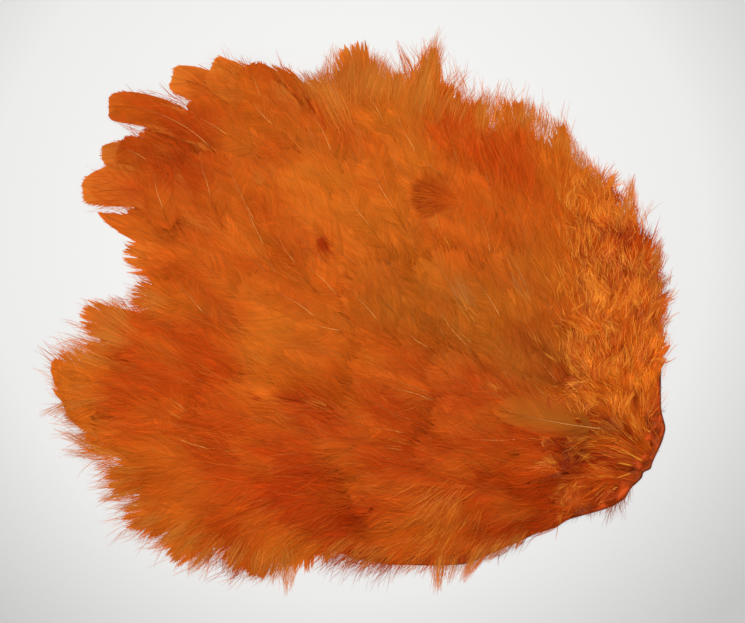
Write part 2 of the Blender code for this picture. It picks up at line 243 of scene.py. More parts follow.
# Rows of hairs at the edge: x and y of both ends, heading, length, count, dyes of the roots and the tips
EDGE_HAIRS = [
    # The dark rows are brown hairs darkened as painted shade under the skin's cut edge
    (-6.0, -62.4, 12.0, -65.2, 226, 8.5, 260, RUST * 0.9, BROWN),
    (12.0, -64.8, 29.0, -64.4, 236, 5.0, 80, RUST * 0.8, BROWN),
    (46.5, -56.5, 60.0, -52.4, 236, 2.6, 26, DEEP * 0.6, BROWN * 0.6),
    (60.0, -52.0, 70.0, -47.0, 262, 4.0, 34, DEEP * 0.6, BROWN * 0.7),
    (28.0, -64.0, 46.5, -57.0, 238, 6.2, 48, DEEP * 0.7, BROWN * 0.8),
    (79.6, -28.0, 78.8, -8.0, 30, 1.5, 9, DEEP * 0.6, BROWN * 0.7),
    (50.0, 40.0, 68.0, 29.0, 82, 6.5, 260, ORANGE, GOLD),
    (49.0, 36.0, 66.0, 26.0, 84, 6.5, 260, ORANGE, GOLD),
    (66.0, -50.0, 71.6, -45.8, 252, 6.2, 90, DEEP * 0.8, BROWN * 0.8),
]

# Places where fans of fine barbs are painted pale as glints: x, y, spread in degrees, length
PAINTED_GLINTS = [
    (31.3, -2.6, 16, 11), (44.0, 2.2, 14, 8), (41.1, 10.6, 16, 6), (53.0, 9.6, 12, 6), (52.7, 20.9, 12, 7),
    (55.5, 17.4, 12, 6), (64.0, 26.1, 12, 6), (58.5, 3.8, 14, 6), (51.6, -13.1, 14, 6), (58.0, -8.2, 14, 6),
    (54.0, -9.2, 16, 5), (62.3, 9.7, 14, 6), (36.3, -20.0, 14, 6), (28.7, 1.4, 12, 6), (43.5, 3.7, 12, 6),
    (47.4, -8.0, 12, 6), (20.5, 22.0, 16, 9), (24.0, 17.0, 14, 7), (-11.0, 12.5, 18, 6),
    (-24.0, -14.0, 16, 6), (-38.0, -16.0, 12, 7), (-27.0, 15.0, 14, 6), (3.5, -13.0, 14, 6),
    (50.0, -22.0, 16, 8), (57.0, -16.0, 18, 6), (66.0, 10.0, 14, 6), (64.0, -14.0, 16, 6),
    (56.0, 27.0, 10, 8), (59.0, 22.0, 10, 8), (53.0, 29.0, 10, 7), (61.0, 18.0, 12, 6),
    (-46.0, -27.0, 12, 7), (0.0, -23.0, 14, 8), (-8.0, -25.0, 12, 7), (12.0, -34.0, 14, 6),
]

# Painted greyish sheens on smooth vanes: x, y, heading, length, width, strands
PAINTED_SHEENS = [(28.0, 3.0, 118, 11, 3.0, 50), (42.5, 6.0, 108, 9, 2.0, 34), (-12.5, 47.0, 300, 4, 0.6, 8)]

# Places where dark red barbs are painted as shade in the gaps: x, y, heading, length, width, strands
PAINTED_SHADE_PLACES = [
    (-9.8, 18.2, 312, 4.8, 2.0, 60), (-11.5, 52.0, 118, 6.5, 0.6, 9), (-9.0, 49.0, 112, 6.0, 0.5, 7),
    (-25.6, -22.5, 160, 4.0, 0.8, 9), (-14.0, -23.5, 165, 9.0, 1.2, 16), (-6.0, -28.0, 150, 9.0, 2.2, 20),
    (57.0, -28.5, 145, 9.0, 2.2, 26), (62.0, -32.0, 150, 7.0, 2.0, 18), (66.5, 6.0, 80, 5.0, 2.2, 14),
    (34.0, -43.0, 150, 8.0, 3.0, 30), (-12.0, -42.0, 168, 11.0, 2.6, 10),
]

# Outside the lower edge, the lower right corner and the right edge, where almost nothing hangs over
CLEARED = [
    (-16.5, -75), (-16, -64.4), (-6, -64.8), (0, -66.2), (5, -67.4), (12, -68), (21, -67.8), (28.9, -67.2),
    (36, -64), (40, -62.4), (44, -60), (48, -57.6), (54, -55), (64.3, -52.6), (71.4, -47.6), (75.5, -43.5),
    (79.8, -35.5), (81, -30), (80, -25), (79.6, -9), (90, -9), (90, -80), (-16.5, -80),
]

# Where no wisps stand out from the rim
SHORN = [
    [(-95, 0), (-80.5, -3), (-79.6, -12), (-80.3, -24), (-95, -24)],
    [(73.8, 31), (75, 26), (77.8, 18.5), (85, 18), (85, 32)],
    [(-70, 12), (-58, 12), (-59.5, 6), (-61, 3.6), (-70, 3.6)],
    [(-22, 65.5), (-15, 63.5), (-11, 63.5), (-9, 66), (-9, 76), (-22, 76)],
]

# Slits where feathers were pulled out, sunk into the skin and painted dark as shade: x, y, heading, length
SLITS = [(75.1, -27.8, 145, 5.6), (75.6, -35.4, 18, 4.0), (70.9, -41.2, 170, 6.0), (72.2, -22.0, 120, 2.6)]

# Where the skin is bare
BARE = [
    (80, -18), (77.6, -21), (77, -30), (75.2, -36), (71.5, -42.5), (64, -49.5), (53, -53.5), (40, -58.5),
    (40, -64), (90, -64), (90, -18),
]

# Reading the layout


def unit(heading):
    return np.stack([np.cos(heading), np.sin(heading)], -1)


def lie_at(points, guides=GUIDES):
    """The unit directions in which feathers lie at these places, from the guides weighed by nearness."""
    away = np.asarray(points)[:, None, :] - guides[None, :, :2]
    weight = ((away**2).sum(2) + LIE_SOFTNESS**2) ** -1.5
    total = weight @ unit(np.radians(guides[:, 2]))
    return total / np.linalg.norm(total, axis=1, keepdims=True)


def traced_back(tip, distance, direction_at):
    """Points from the root to the tip of a line that everywhere has the direction of that place."""
    points = [np.array(tip, float)]
    for _ in range(VANE_SEGMENTS):
        points.append(points[-1] - direction_at(points[-1]) * distance / VANE_SEGMENTS)
    return np.array(points[::-1])


def along_the_lie(place):
    return lie_at(place[None])[0]


def distances_along(points):
    """How far along the line each of its points is."""
    return np.concatenate([[0], np.cumsum(np.linalg.norm(np.diff(points, axis=0), axis=1))])


def spread_evenly(points, run, distances):
    """The line's places at these distances along it."""
    return np.stack([np.interp(distances, run, points[:, k]) for k in (0, 1)], 1)


def from_head(point):
    return float(np.linalg.norm(np.asarray(point) - HEAD))


def inside(points, outline):
    """Whether each place is inside a closed outline, from how often its line towards +X crosses it."""
    x, y = np.asarray(points, float).reshape(-1, 2).T
    found = np.zeros(len(x), bool)
    for (ax, ay), (bx, by) in zip(outline, outline[1:] + outline[:1]):
        if ay != by:
            crossing = ax + (y - ay) * (bx - ax) / (by - ay)
            found ^= ((y < ay) != (y < by)) & (x < crossing)
    return found


def inner_feathers():
    """The rows inside the rim: the tip, length and width of each feather, thinned where they would crowd."""
    rim = [np.array((x, y)) for x, y, _, _, _ in RIM_FEATHERS]
    between = [(one + other) / 2 for one, other in zip(rim, rim[1:])]
    placed, rows = list(rim), []
    for number, share in enumerate(ROW_SHARES):
        found = []
        for outer in rim if number % 2 else between:
            tip = HEAD + (outer - HEAD) * share
            spacing = max(LEAST_SPACING, SPACING_SHARE * from_head(tip))
            length = min(max(LENGTH_SHARE * from_head(tip), SHORTEST), LONGEST)
            crowded = min(np.linalg.norm(tip - other) for other in placed) < spacing
            if crowded or not inside(traced_back(tip, length, along_the_lie)[0], SKIN_OUTLINE)[0]:
                continue
            placed.append(tip)
            found.append((*tip, length, min(WIDTH_SHARE * length, WIDEST)))
        rows.append(found)
    return rows


class Wander:
    """A smooth field that wanders between about -1 and 1 over distances of the given size."""

    def __init__(self, size, waves=9):
        pitch = 2 * math.pi / (size * random.uniform(1.2, 3.2, waves))
        self.waves = unit(random.random(waves) * 2 * math.pi).T * pitch
        self.phases = random.random(waves) * 2 * math.pi

    def __call__(self, points):
        total = np.sin(np.asarray(points) @ self.waves + self.phases).sum(-1)
        return total / math.sqrt(len(self.phases)) * 1.2


# The looks and the lie of the barbs, on a grid of cells

CELL = 1.0
LOW, HIGH = np.array((-95.0, -85.0)), np.array((95.0, 85.0))
COUNT = ((HIGH - LOW) / CELL).astype(int) + 1
CELLS = LOW + CELL * np.stack(np.meshgrid(np.arange(COUNT[0]), np.arange(COUNT[1]), indexing="ij"), -1)


def sampled(field, points):
    """The field's values at these places, between its cells."""
    at = np.clip((np.asarray(points) - LOW) / CELL, 0, COUNT - 1.001)
    cell = at.astype(int)
    part = at - cell
    i, j = cell[..., 0], cell[..., 1]
    x, y = part[..., 0], part[..., 1]
    if field.ndim == 3:
        x, y = x[..., None], y[..., None]
    near = field[i, j] * (1 - y) + field[i, j + 1] * y
    far = field[i + 1, j] * (1 - y) + field[i + 1, j + 1] * y
    return near * (1 - x) + far * x


def look_field():
    """The dye, looseness and duskiness of each cell, with blotches of more golden and of redder dye."""
    points = CELLS.reshape(-1, 2)
    away = points[:, None, :] - ZONE_PLACES[None]
    weight = ((away**2).sum(2) + ZONE_SOFTNESS**2) ** -2.5
    looks = (weight / weight.sum(1, keepdims=True)) @ ZONE_LOOKS
    blotch = np.clip(Wander(9.0)(points), -1, 1)[:, None]
    dyes = looks[:, :3]
    dyes = dyes + (GOLD - dyes) * 0.3 * np.maximum(blotch, 0) + (RUST - dyes) * 0.3 * np.maximum(-blotch, 0)
    return np.concatenate([dyes, looks[:, 3:]], 1).reshape(*COUNT, 5)


shaft_headings = [
    (ax / 2 + bx / 2, ay / 2 + by / 2, math.degrees(math.atan2(by - ay, bx - ax)))
    for ax, ay, bx, by, _ in SHAFTS
]
BARB_GUIDES = np.concatenate([GUIDES, shaft_headings])
looks = look_field()
barb_lie = lie_at(CELLS.reshape(-1, 2), BARB_GUIDES).reshape(*COUNT, 2)
mottle = Wander(2.4)


def look_at(point):
    """The looseness and the duskiness at one place."""
    return sampled(looks, point)[3:]


def dye_at(points):
    return sampled(looks, points)[..., :3] * (1 + 0.06 * mottle(points))[..., None]


def heading_at(points):
    along = sampled(barb_lie, points)
    return np.arctan2(along[..., 1], along[..., 0])


def along_the_barbs(places):
    return unit(heading_at(places))


def ahead(points, distance):
    """The places that far on in the direction of the barbs."""
    return points + along_the_barbs(points) * distance


# The heights of the pile

RAY_START = 0.1  # metres above the ground, over the whole pile


def height_on(node, x, y):
    """The height of a solid's upper side at a place, or None where the solid isn't under it."""
    hit, place, _, _ = nodes[node].ray_cast((x * MM, y * MM, RAY_START), (0, 0, -1))
    return place.z / MM if hit else None


def tops_of(node):
    """The height of a solid's upper side over each cell, and 0 where it isn't under the cell."""
    heights = np.zeros(COUNT)
    low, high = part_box(node)
    first = np.maximum(np.floor((np.array(low[:2]) / MM - LOW) / CELL).astype(int), 0)
    last = np.minimum(np.ceil((np.array(high[:2]) / MM - LOW) / CELL).astype(int), COUNT - 1)
    for i in range(first[0], last[0] + 1):
        for j in range(first[1], last[1] + 1):
            heights[i, j] = height_on(node, *CELLS[i, j]) or 0
    return heights


def blanket(heights, spread=2, softness=2.2):
    """A soft cover over the heights: each cell takes the highest nearby, and then all are blurred."""
    highest = heights.copy()
    for dx in range(-spread, spread + 1):
        for dy in range(-spread, spread + 1):
            if dx * dx + dy * dy <= spread * spread:
                highest = np.maximum(highest, np.roll(heights, (dx, dy), (0, 1)))
    reach = int(3 * softness)
    weights = np.exp(-0.5 * (np.arange(-reach, reach + 1) / softness) ** 2)
    weights /= weights.sum()
    for axis in (0, 1):
        highest = sum(w * np.roll(highest, k - reach, axis) for k, w in enumerate(weights))
    return highest


# Meshes: each shape is its vertices, its faces and its vertices' dyes


def ribbons(paths, widths, rolls, dyes):
    """Flat strands along paths of shape (strand, point, 3), turned about their own length by rolls."""
    count, points, _ = paths.shape
    along = np.gradient(paths, axis=1)
    along /= np.maximum(np.linalg.norm(along, axis=2, keepdims=True), 1e-9)
    level = np.stack([-along[..., 1], along[..., 0], np.zeros((count, points))], 2)
    level /= np.maximum(np.linalg.norm(level, axis=2, keepdims=True), 1e-9)
    up = np.cross(along, level)
    turn = np.broadcast_to(rolls if rolls.ndim == 2 else rolls[:, None], (count, points))[..., None]
    side = (np.cos(turn) * level + np.sin(turn) * up) * widths[..., None] / 2
    vertices = np.stack([paths - side, paths + side], 2).reshape(-1, 3)
    first = 2 * (np.arange(count)[:, None] * points + np.arange(points - 1)[None, :]).reshape(-1, 1)
    return vertices, first + np.array([[0, 1, 3, 2]]), np.repeat(dyes.reshape(-1, 3), 2, axis=0)


def tube(path, radii, dyes, sides=4):
    """One closed round strand along a path of shape (point, 3)."""
    along = np.gradient(path, axis=0)
    along /= np.linalg.norm(along, axis=1, keepdims=True)
    level = np.stack([-along[:, 1], along[:, 0], np.zeros(len(path))], 1)
    level /= np.linalg.norm(level, axis=1, keepdims=True)
    up = np.cross(along, level)
    turns = unit(np.arange(sides) * 2 * math.pi / sides)
    ring = turns[None, :, :1] * level[:, None] + turns[None, :, 1:] * up[:, None]
    vertices = (path[:, None] + ring * radii[:, None, None]).reshape(-1, 3)
    start = np.arange(len(path) - 1)[:, None] * sides
    first = (start + np.arange(sides)).reshape(-1)
    after = (start + (np.arange(sides) + 1) % sides).reshape(-1)
    last = (len(path) - 1) * sides
    caps = np.array([[3, 2, 1, 0], [last, last + 1, last + 2, last + 3]])
    faces = np.concatenate([np.stack([first, after, after + sides, first + sides], 1), caps])
    return vertices, faces, np.repeat(dyes, sides, axis=0)


def joined(shapes):
    starts = np.cumsum([0] + [len(vertices) for vertices, _, _ in shapes[:-1]])
    return (
        np.concatenate([vertices for vertices, _, _ in shapes]),
        np.concatenate([faces + start for (_, faces, _), start in zip(shapes, starts)]),
        np.concatenate([dyes for _, _, dyes in shapes]),
    )


def piece(name, shape, material, replaced=None):
    """A mesh object in metres that rides on the part, with its dyes kept at its vertices."""
    vertices, faces, dyes = shape
    mesh = bpy.data.meshes.new(name)
    mesh.from_pydata((vertices * MM).tolist(), [], faces if isinstance(faces, list) else faces.tolist())
    attribute = mesh.attributes.new("dye", "FLOAT_COLOR", "POINT")
    shades = np.ones((len(vertices), 4), np.float32)
    shades[:, :3] = np.clip(dyes, 0, 1)
    attribute.data.foreach_set("color", shades.ravel())
    mesh.shade_smooth()
    mesh.materials.append(material)
    made = bpy.data.objects.new(name, mesh)
    bpy.context.scene.collection.objects.link(made)
    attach(made, "root")
    if replaced:
        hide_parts(replaced)


# A feather

BARB_SPACING = 0.30  # measured along the vane's outline
RIM_BARB_SPACING = 0.24
BARB_POINTS = 5
CLOSED = 0.16  # vanes looser than this fray at the edge
SHAFT_SHARE = 0.93  # the shaft ends short of the tip, and the last barbs reach it
WIDEST_AT = 0.6
FIRST_BARB = 0.42  # the first barb's end, as a share of the length
DROOP = 0.9  # how far the vane's edges hang below the shaft
LEAST_HEIGHT = 0.12
SHARES = np.linspace(0, 1, 241)  # fine steps along a vane's outline


class Line:
    """A feather's centreline: places along it and beside it become places in the patch."""

    def __init__(self, points, heights, ground, over=None):
        self.points = points
        self.run = distances_along(points)
        self.length = self.run[-1]
        self.along = np.gradient(points, axis=0)
        self.along /= np.linalg.norm(self.along, axis=1, keepdims=True)
        self.heights = heights
        self.ground = ground
        self.over = over

    def at(self, u, v, width):
        """Places u along the line and v to its left. The vane's edges sink towards what lies under them."""
        x, y = (np.interp(u, self.run, column) for column in self.points.T)
        ax, ay = (np.interp(u, self.run, column) for column in self.along.T)
        past = np.maximum(u - self.length, 0)
        x = x + ax * past - ay * v
        y = y + ay * past + ax * v
        z = np.interp(u, self.run, self.heights)
        places = np.stack([x, y], -1)
        if self.over is not None:
            z = z + sampled(self.over, places)
        aside = np.abs(v) / (width / 2)
        z = z - DROOP * np.minimum(aside, 1.5) ** 1.7
        outer = np.clip(np.maximum(aside, (u / self.length - 0.65) / 0.35), 0, 1.15) ** 2
        above = np.clip(z - sampled(self.ground, places) - 0.2, 0, 1.3)
        return np.stack([x, y, z - 0.85 * outer * above], -1)


def half_width(share, blunt):
    """The vane's half width at a share of the length, as a share of the widest."""
    inner = np.sin(math.pi / 2 * np.clip(share / WIDEST_AT, 0, 1)) ** 0.7
    outer = (1 - np.clip((share - WIDEST_AT) / (1 - WIDEST_AT), 0, 1) ** blunt) ** (1 / blunt)
    return np.where(share < WIDEST_AT, inner, outer)


def turned(vectors, angles):
    cosine, sine = np.cos(angles), np.sin(angles)
    x, y = vectors[..., 0], vectors[..., 1]
    return np.stack([cosine * x - sine * y, sine * x + cosine * y], -1)


def shaded(places, u, v, line, width, tone, dusk, gilt, dye):
    """The dyes at these places of a vane, whose own tone and duskiness fade out towards its edges."""
    local = dye_at(places[..., :2])
    along = np.clip((u / line.length - 0.3) / 0.6, 0, 1)
    nearness = (np.abs(v) / (width / 2)).clip(0, 1) ** 1.5
    nearness = np.maximum(nearness, np.clip((u / line.length - 0.7) / 0.3, 0, 1) ** 1.5)[..., None]
    middle = (local if dye is None else dye) * (1 - dusk) + DUSK * dusk
    edge = local * (1 - gilt) + FRINGE * gilt
    # Painted shade: each vane is darker towards its root, which lies under the feather over it, and lighter
    # towards its tip; its tone also differs at random
    painted_shade_and_tone = (0.92 + 0.11 * along)[..., None] * (1 + tone * (1 - nearness))
    return (middle * (1 - nearness) + edge * nearness) * painted_shade_and_tone


def vane(line, width, share, side, shading, looseness, blunt, first, spacing, ragged):
    """One side's barbs. Loose barbs lie closer to the shaft, gather in locks and end raggedly."""
    length, half = line.length, width / 2 * share
    rim_run = np.hypot(np.diff(SHARES) * length, np.diff(half_width(SHARES, blunt)) * half)
    run = np.concatenate([[0], np.cumsum(rim_run)])
    begin = np.interp(first, SHARES, run)
    count = max(int((run[-1] - begin) / spacing), 12)
    ends = np.interp(np.linspace(begin, run[-1], count), run, SHARES)
    ends = np.clip(ends + random.normal(0, 0.002, count), 0, 1)

    # Where on the shaft each barb begins, from where it ends
    along = np.linspace(0, 1, 101)
    reached = along + (1 - along) * (0.5 + 0.5 * along**5)
    begins = np.clip(np.interp(ends, reached, along) * SHAFT_SHARE, QUILL_SHARE, SHAFT_SHARE)

    lock = np.searchsorted(np.cumsum(random.integers(3, 10, count)), np.arange(count), side="right")

    def by_lock(scale):
        return random.normal(0, 1, lock[-1] + 1)[lock] * scale

    def each(scale):
        return random.normal(0, 1, count) * scale

    start = np.stack([begins * length, np.zeros(count)], 1)
    chord = np.stack([ends * length, half_width(ends, blunt) * half], 1) - start
    long = np.linalg.norm(chord, axis=1)
    chord = turned(chord, -0.2 * looseness + by_lock(0.01 + 0.07 * looseness) + each(0.01 + 0.08 * looseness))
    more = 1 + np.abs(each(0.018 + 0.13 * looseness**1.2)) + by_lock(0.003 + 0.12 * looseness * ragged)
    chord = chord * np.clip(more - 0.04 * looseness, 0.7, 1.35)[:, None]
    bend = turned(chord, 0.24 + by_lock(0.02) + each(0.02 + 0.06 * looseness)) * 0.5
    t = np.linspace(0, 1, BARB_POINTS)
    at = t[None, :, None]
    flat = start[:, None] + 2 * at * (1 - at) * bend[:, None] + at**2 * chord[:, None]

    # Neighbours draw together towards their tips, and stray a little on the way
    members = np.bincount(lock)
    for axis, amount in ((0, 0.3), (1, 1.0)):
        mean = np.stack([np.bincount(lock, flat[:, k, axis]) / members for k in range(BARB_POINTS)], 1)[lock]
        flat[..., axis] += (mean - flat[..., axis]) * amount * (0.02 + 0.8 * ragged * looseness**1.3) * t**1.6
    phase = random.random((count, 1)) * 2 * math.pi
    wave = np.sin(t * (3 + 5 * looseness) + phase) - np.sin(phase)
    flat[..., 1] += wave * t * (0.02 + 0.25 * looseness) * np.minimum(long / 8, 1)[:, None]
    path = line.at(flat[..., 0], side * flat[..., 1], width)
    lift = by_lock(0.01 + 0.3 * looseness) + np.abs(each(0.02 + 0.2 * looseness))
    path[..., 2] = np.maximum(path[..., 2] + lift[:, None] * t**2, LEAST_HEIGHT)

    fineness = min(looseness / 0.3, 1)
    taper = np.interp(t, [0, 0.6, 1], [1, 0.8 - 0.1 * fineness, 0.4 - 0.18 * fineness])
    widths = (0.42 - 0.2 * looseness) * taper * random.uniform(0.8, 1.2, (count, 1))
    shade = 1 + each(0.05 + 0.05 * looseness) + by_lock(0.02 + 0.05 * looseness)
    dyes = shaded(path, flat[..., 0], flat[..., 1], line, width * share, *shading) * shade[:, None, None]
    barbs = ribbons(path, widths, each(0.04 + 0.25 * looseness), dyes)
    if looseness < CLOSED:
        return barbs

    # Wider strips under every third barb taper to a point, so the vane's edge frays along its barbs
    under = np.maximum(path[1::3] - (0, 0, 0.07), (-np.inf, -np.inf, LEAST_HEIGHT - 0.02))
    narrowed = np.interp(t, [0, 0.5, 0.8, 1], [1, 1, 1 - 0.25 * looseness, 0.1])
    strip_widths = 3.6 * spacing * narrowed * random.uniform(0.8, 1.1, (len(under), 1))
    # The strips are painted a little darker, as shade under the barbs
    strips = ribbons(under, strip_widths, random.normal(0, 0.1, len(under)), dyes[1::3] * 0.97)
    return joined([barbs, strips])


def web(line, width, shares, shading, looseness, blunt):
    """The closed sheet that hooked barbs make, which lies just under them and ends short of their ends."""
    rows, columns = 20, 9
    frayed = looseness if looseness >= CLOSED else 0.0
    share = 0.3 + (0.695 - 0.16 * frayed) * (1 - (1 - np.linspace(0, 1, rows)[:, None]) ** 1.8)
    across = np.linspace(-1, 1, columns)[None]
    u = (share - across**2 * 0.05 * frayed) * line.length
    v = half_width(share, blunt) * across * (0.985 - 0.3 * frayed) * width / 2
    v = v * np.interp(share, [0.3, 0.5], [0.3, 1]) * np.where(across > 0, shares[0], shares[1])
    vertices = line.at(u, v, width)
    vertices[..., 2] = np.maximum(vertices[..., 2] - 0.07, LEAST_HEIGHT - 0.02)
    first = (np.arange(rows - 1)[:, None] * columns + np.arange(columns - 1)).reshape(-1, 1)
    dyes = shaded(vertices, u, v, line, width, *shading)
    return vertices.reshape(-1, 3), first + np.array([[0, 1, columns + 1, columns]]), dyes.reshape(-1, 3)


def feather(
    line, width, looseness, tone=0.0, dusk=0.1, gilt=0.1, dye=None, shares=(1.0, 1.0), blunt=2.6,
    first=FIRST_BARB, pale=0.2, bare=(0.0, 1.0), spacing=BARB_SPACING, ragged=0.4,
):
    """A shaft and two vanes. The shaft is pale over the bare stretch, which is a share of the length."""
    shading = (tone, dusk, gilt, dye)
    shapes = [
        vane(line, width, share, side, shading, looseness, blunt, first, spacing, ragged)
        for share, side in zip(shares, (1.0, -1.0))
    ]
    shapes.append(web(line, width, shares, shading, looseness, blunt))
    stations = np.linspace(0, 1, 16) * SHAFT_SHARE
    path = line.at(stations * line.length, np.zeros(16), width)
    path[:, 2] += 0.02 + 0.12 * min(2 * pale, 1)
    radii = (0.24 - 0.14 * stations) * (0.7 + 0.3 * min(line.length / 50, 1)) * (0.7 + 0.15 * pale)
    strength = pale * np.clip((stations - bare[0] + 0.02) / 0.04, 0, 1)
    strength = strength * np.clip((bare[1] + 0.1 - stations) / (bare[1] - bare[0] + 0.1), 0, 1) ** 0.7
    base = dye_at(path[:, :2]) * 0.9
    shapes.append(tube(path, radii, base + (PALE - base) * strength[:, None]))
    return joined(shapes)


# Strands of down

STRAND_POINTS = 6
LOWEST_STRAND = 0.15  # above the ground


def spread(low, high, count):
    return random.uniform(low, high, count)


def jittered(scale, count):
    return random.normal(0, scale, count)


def strands(
    cover, starts, headings, roots, tips, length, bend, wave, low, high, width, stretch=1, calm=1, rise=1,
    points=STRAND_POINTS, roll=0.5,
):
    """Hair-like barbs that set off from their places in a heading, bend and wave, and rise from low to high.

    Roots and tips are their dyes. Length, wave, low, high and width are ranges, and bend is a deviation.
    Stretch lengthens each strand, calm below 1 straightens it and rise lifts its middle.
    """
    count = len(starts)
    lengths = spread(*length, count) * stretch
    bends = jittered(bend, count) * calm
    waves = spread(*wave, count) * calm
    lows = spread(*low, count)
    highs = spread(*high, count) * rise
    widths = spread(*width, count)
    t = np.linspace(0, 1, points)
    phase = random.random((count, 1)) * 2 * math.pi
    sway = np.sin(7 * t + phase) - np.sin(phase)
    heading = headings[:, None] + bends[:, None] * t + waves[:, None] * sway
    step = unit(heading) * (lengths / (points - 1))[:, None, None]
    places = starts[:, None] + np.concatenate([np.zeros((count, 1, 2)), np.cumsum(step, 1)[:, :-1]], 1)
    z = sampled(cover, places) + lows[:, None] * (1 - t) + highs[:, None] * np.sin(t * math.pi * 0.75)
    path = np.concatenate([places, np.maximum(z, LOWEST_STRAND)[..., None]], -1)
    taper = np.interp(t, [0, 0.4, 1], [0.7, 1, 0.25])
    rolls = random.normal(0, roll, (count, 1)) + random.normal(0, 1.4 * roll, (count, 1)) * t
    dyes = roots[:, None] * (1 - t[:, None]) + tips[:, None] * t[:, None]
    return ribbons(path, widths[:, None] * taper, rolls, dyes)


def locks(
    cover, starts, headings, painted_shade_dyes, painted_light_dyes, lengths, root_widths, tip_widths, domes, bends, members,
    thick, stray=0.05, blend=0.35,
):
    """Strands side by side in low mounds: each lock bends as one and is painted lightest along its crest and
    darker where it sinks, as painted light and shade.

    The more the strands blend, the farther behind the lock's root some of them begin.
    """
    count = len(starts)
    t = np.linspace(0, 1, STRAND_POINTS)
    heading = (headings[:, None] + bends[:, None] * t)[:, None]
    across = np.linspace(-1, 1, members)[None] + random.normal(0, 0.3, (count, members))
    stretch = (1 - 0.2 * across**2) * random.uniform(0.75, 1.1, (count, members))
    heading = heading + random.normal(0, stray, (count, members, 1)) * t
    back = random.uniform(0, blend, (count, members))
    stretch = stretch + 0.6 * back
    step = unit(heading) * (lengths[:, None] * stretch / (STRAND_POINTS - 1))[..., None, None]
    run = np.concatenate([np.zeros((count, members, 1, 2)), np.cumsum(step, 2)[:, :, :-1]], 2)
    side = turned(unit(heading), math.pi / 2)
    root_widths, tip_widths = root_widths[:, None], tip_widths[:, None]
    span = root_widths * (1 - t) + tip_widths * t + 0.3 * root_widths * np.sin(math.pi * t)
    offset = (across[..., None] / 2 * span[:, None])[..., None] * side
    behind = unit(heading[:, :, :1]) * (lengths[:, None] * back)[..., None, None]
    places = starts[:, None, None] + run + offset - behind
    crest = np.clip(1 - across**2, 0, 1)[..., None] * np.interp(t, [0, 0.45, 1], [0.3, 1, 0.45])
    z = sampled(cover, places) + crest * domes[:, None, None] + random.normal(0, 0.05, (count, members, 1))
    path = np.concatenate([places, np.maximum(z, LOWEST_STRAND)[..., None]], -1).reshape(-1, STRAND_POINTS, 3)
    shade = 1 + random.normal(0, 0.12, (count, members, 1, 1))
    dyes = painted_shade_dyes[:, None, None] + (painted_light_dyes - painted_shade_dyes)[:, None, None] * crest[..., None]
    widths = thick * random.uniform(0.7, 1.3, (count * members, 1)) * np.interp(t, [0, 0.5, 1], [0.8, 1, 0.3])
    rolls = random.normal(0, 0.35, (count * members, 1)) * np.ones(STRAND_POINTS)
    return ribbons(path, widths, rolls, (dyes * shade).reshape(-1, STRAND_POINTS, 3))


# Materials


def dyed_material(name, roughness, specular, tint, through_share):
    """A surface in the vertices' dye that lets some light through."""
    made = bpy.data.materials.new(name)
    made.use_nodes = True
    tree = made.node_tree
    shader = tree.nodes["Principled BSDF"]
    dye = tree.nodes.new("ShaderNodeAttribute")
    dye.attribute_name = "dye"
    tree.links.new(dye.outputs["Color"], shader.inputs["Base Color"])
    shader.inputs["Roughness"].default_value = roughness
    shader.inputs["Specular IOR Level"].default_value = specular
    shader.inputs["Specular Tint"].default_value = tint
    if through_share:
        through = tree.nodes.new("ShaderNodeBsdfTranslucent")
        tree.links.new(dye.outputs["Color"], through.inputs["Color"])
        mix = tree.nodes.new("ShaderNodeMixShader")
        mix.inputs[0].default_value = through_share
        tree.links.new(shader.outputs[0], mix.inputs[1])
        tree.links.new(through.outputs[0], mix.inputs[2])
        tree.links.new(mix.outputs[0], tree.nodes["Material Output"].inputs["Surface"])
    return made


def add_grain(material, scale, distance):
    """A fine bump from noise."""
    tree = material.node_tree
    place = tree.nodes.new("ShaderNodeTexCoord")
    grain = tree.nodes.new("ShaderNodeTexNoise")
    grain.inputs["Scale"].default_value = scale
    grain.inputs["Detail"].default_value = 5.0
    tree.links.new(place.outputs["Object"], grain.inputs["Vector"])
    bump = tree.nodes.new("ShaderNodeBump")
    bump.inputs["Strength"].default_value = 0.4
    bump.inputs["Distance"].default_value = distance
    tree.links.new(grain.outputs["Fac"], bump.inputs["Height"])
    tree.links.new(bump.outputs["Normal"], tree.nodes["Principled BSDF"].inputs["Normal"])


dyed = dyed_material("dyed feather", 0.5, 0.28, (1.0, 0.42, 0.1, 1.0), 0.35)
glossy = dyed_material("glossy dyed down", 0.34, 0.5, (1.0, 0.5, 0.15, 1.0), 0.3)
leather = dyed_material("dried dyed skin", 0.45, 0.3, (1.0, 0.4, 0.15, 1.0), 0)
add_grain(leather, 900.0, 0.0003)

# Camera, light and floor

PIXEL = 0.26  # millimetres a pixel of the photograph, at the height of the feathers
PHOTO_COLUMNS = 745
ORIGIN_COLUMN = 357.5  # where x is 0
CAMERA_HEIGHT = 600.0
FEATHER_HEIGHT = 6.0


def camera():
    data = bpy.data.cameras.new("camera")
    data.sensor_width = 36.0
    data.lens = data.sensor_width * (CAMERA_HEIGHT - FEATHER_HEIGHT) / (PHOTO_COLUMNS * PIXEL)
    data.clip_end = 10.0
    made = bpy.data.objects.new("camera", data)
    made.location = ((PHOTO_COLUMNS / 2 - ORIGIN_COLUMN) * PIXEL * MM, 0, CAMERA_HEIGHT * MM)
    bpy.context.scene.collection.objects.link(made)
    bpy.context.scene.camera = made


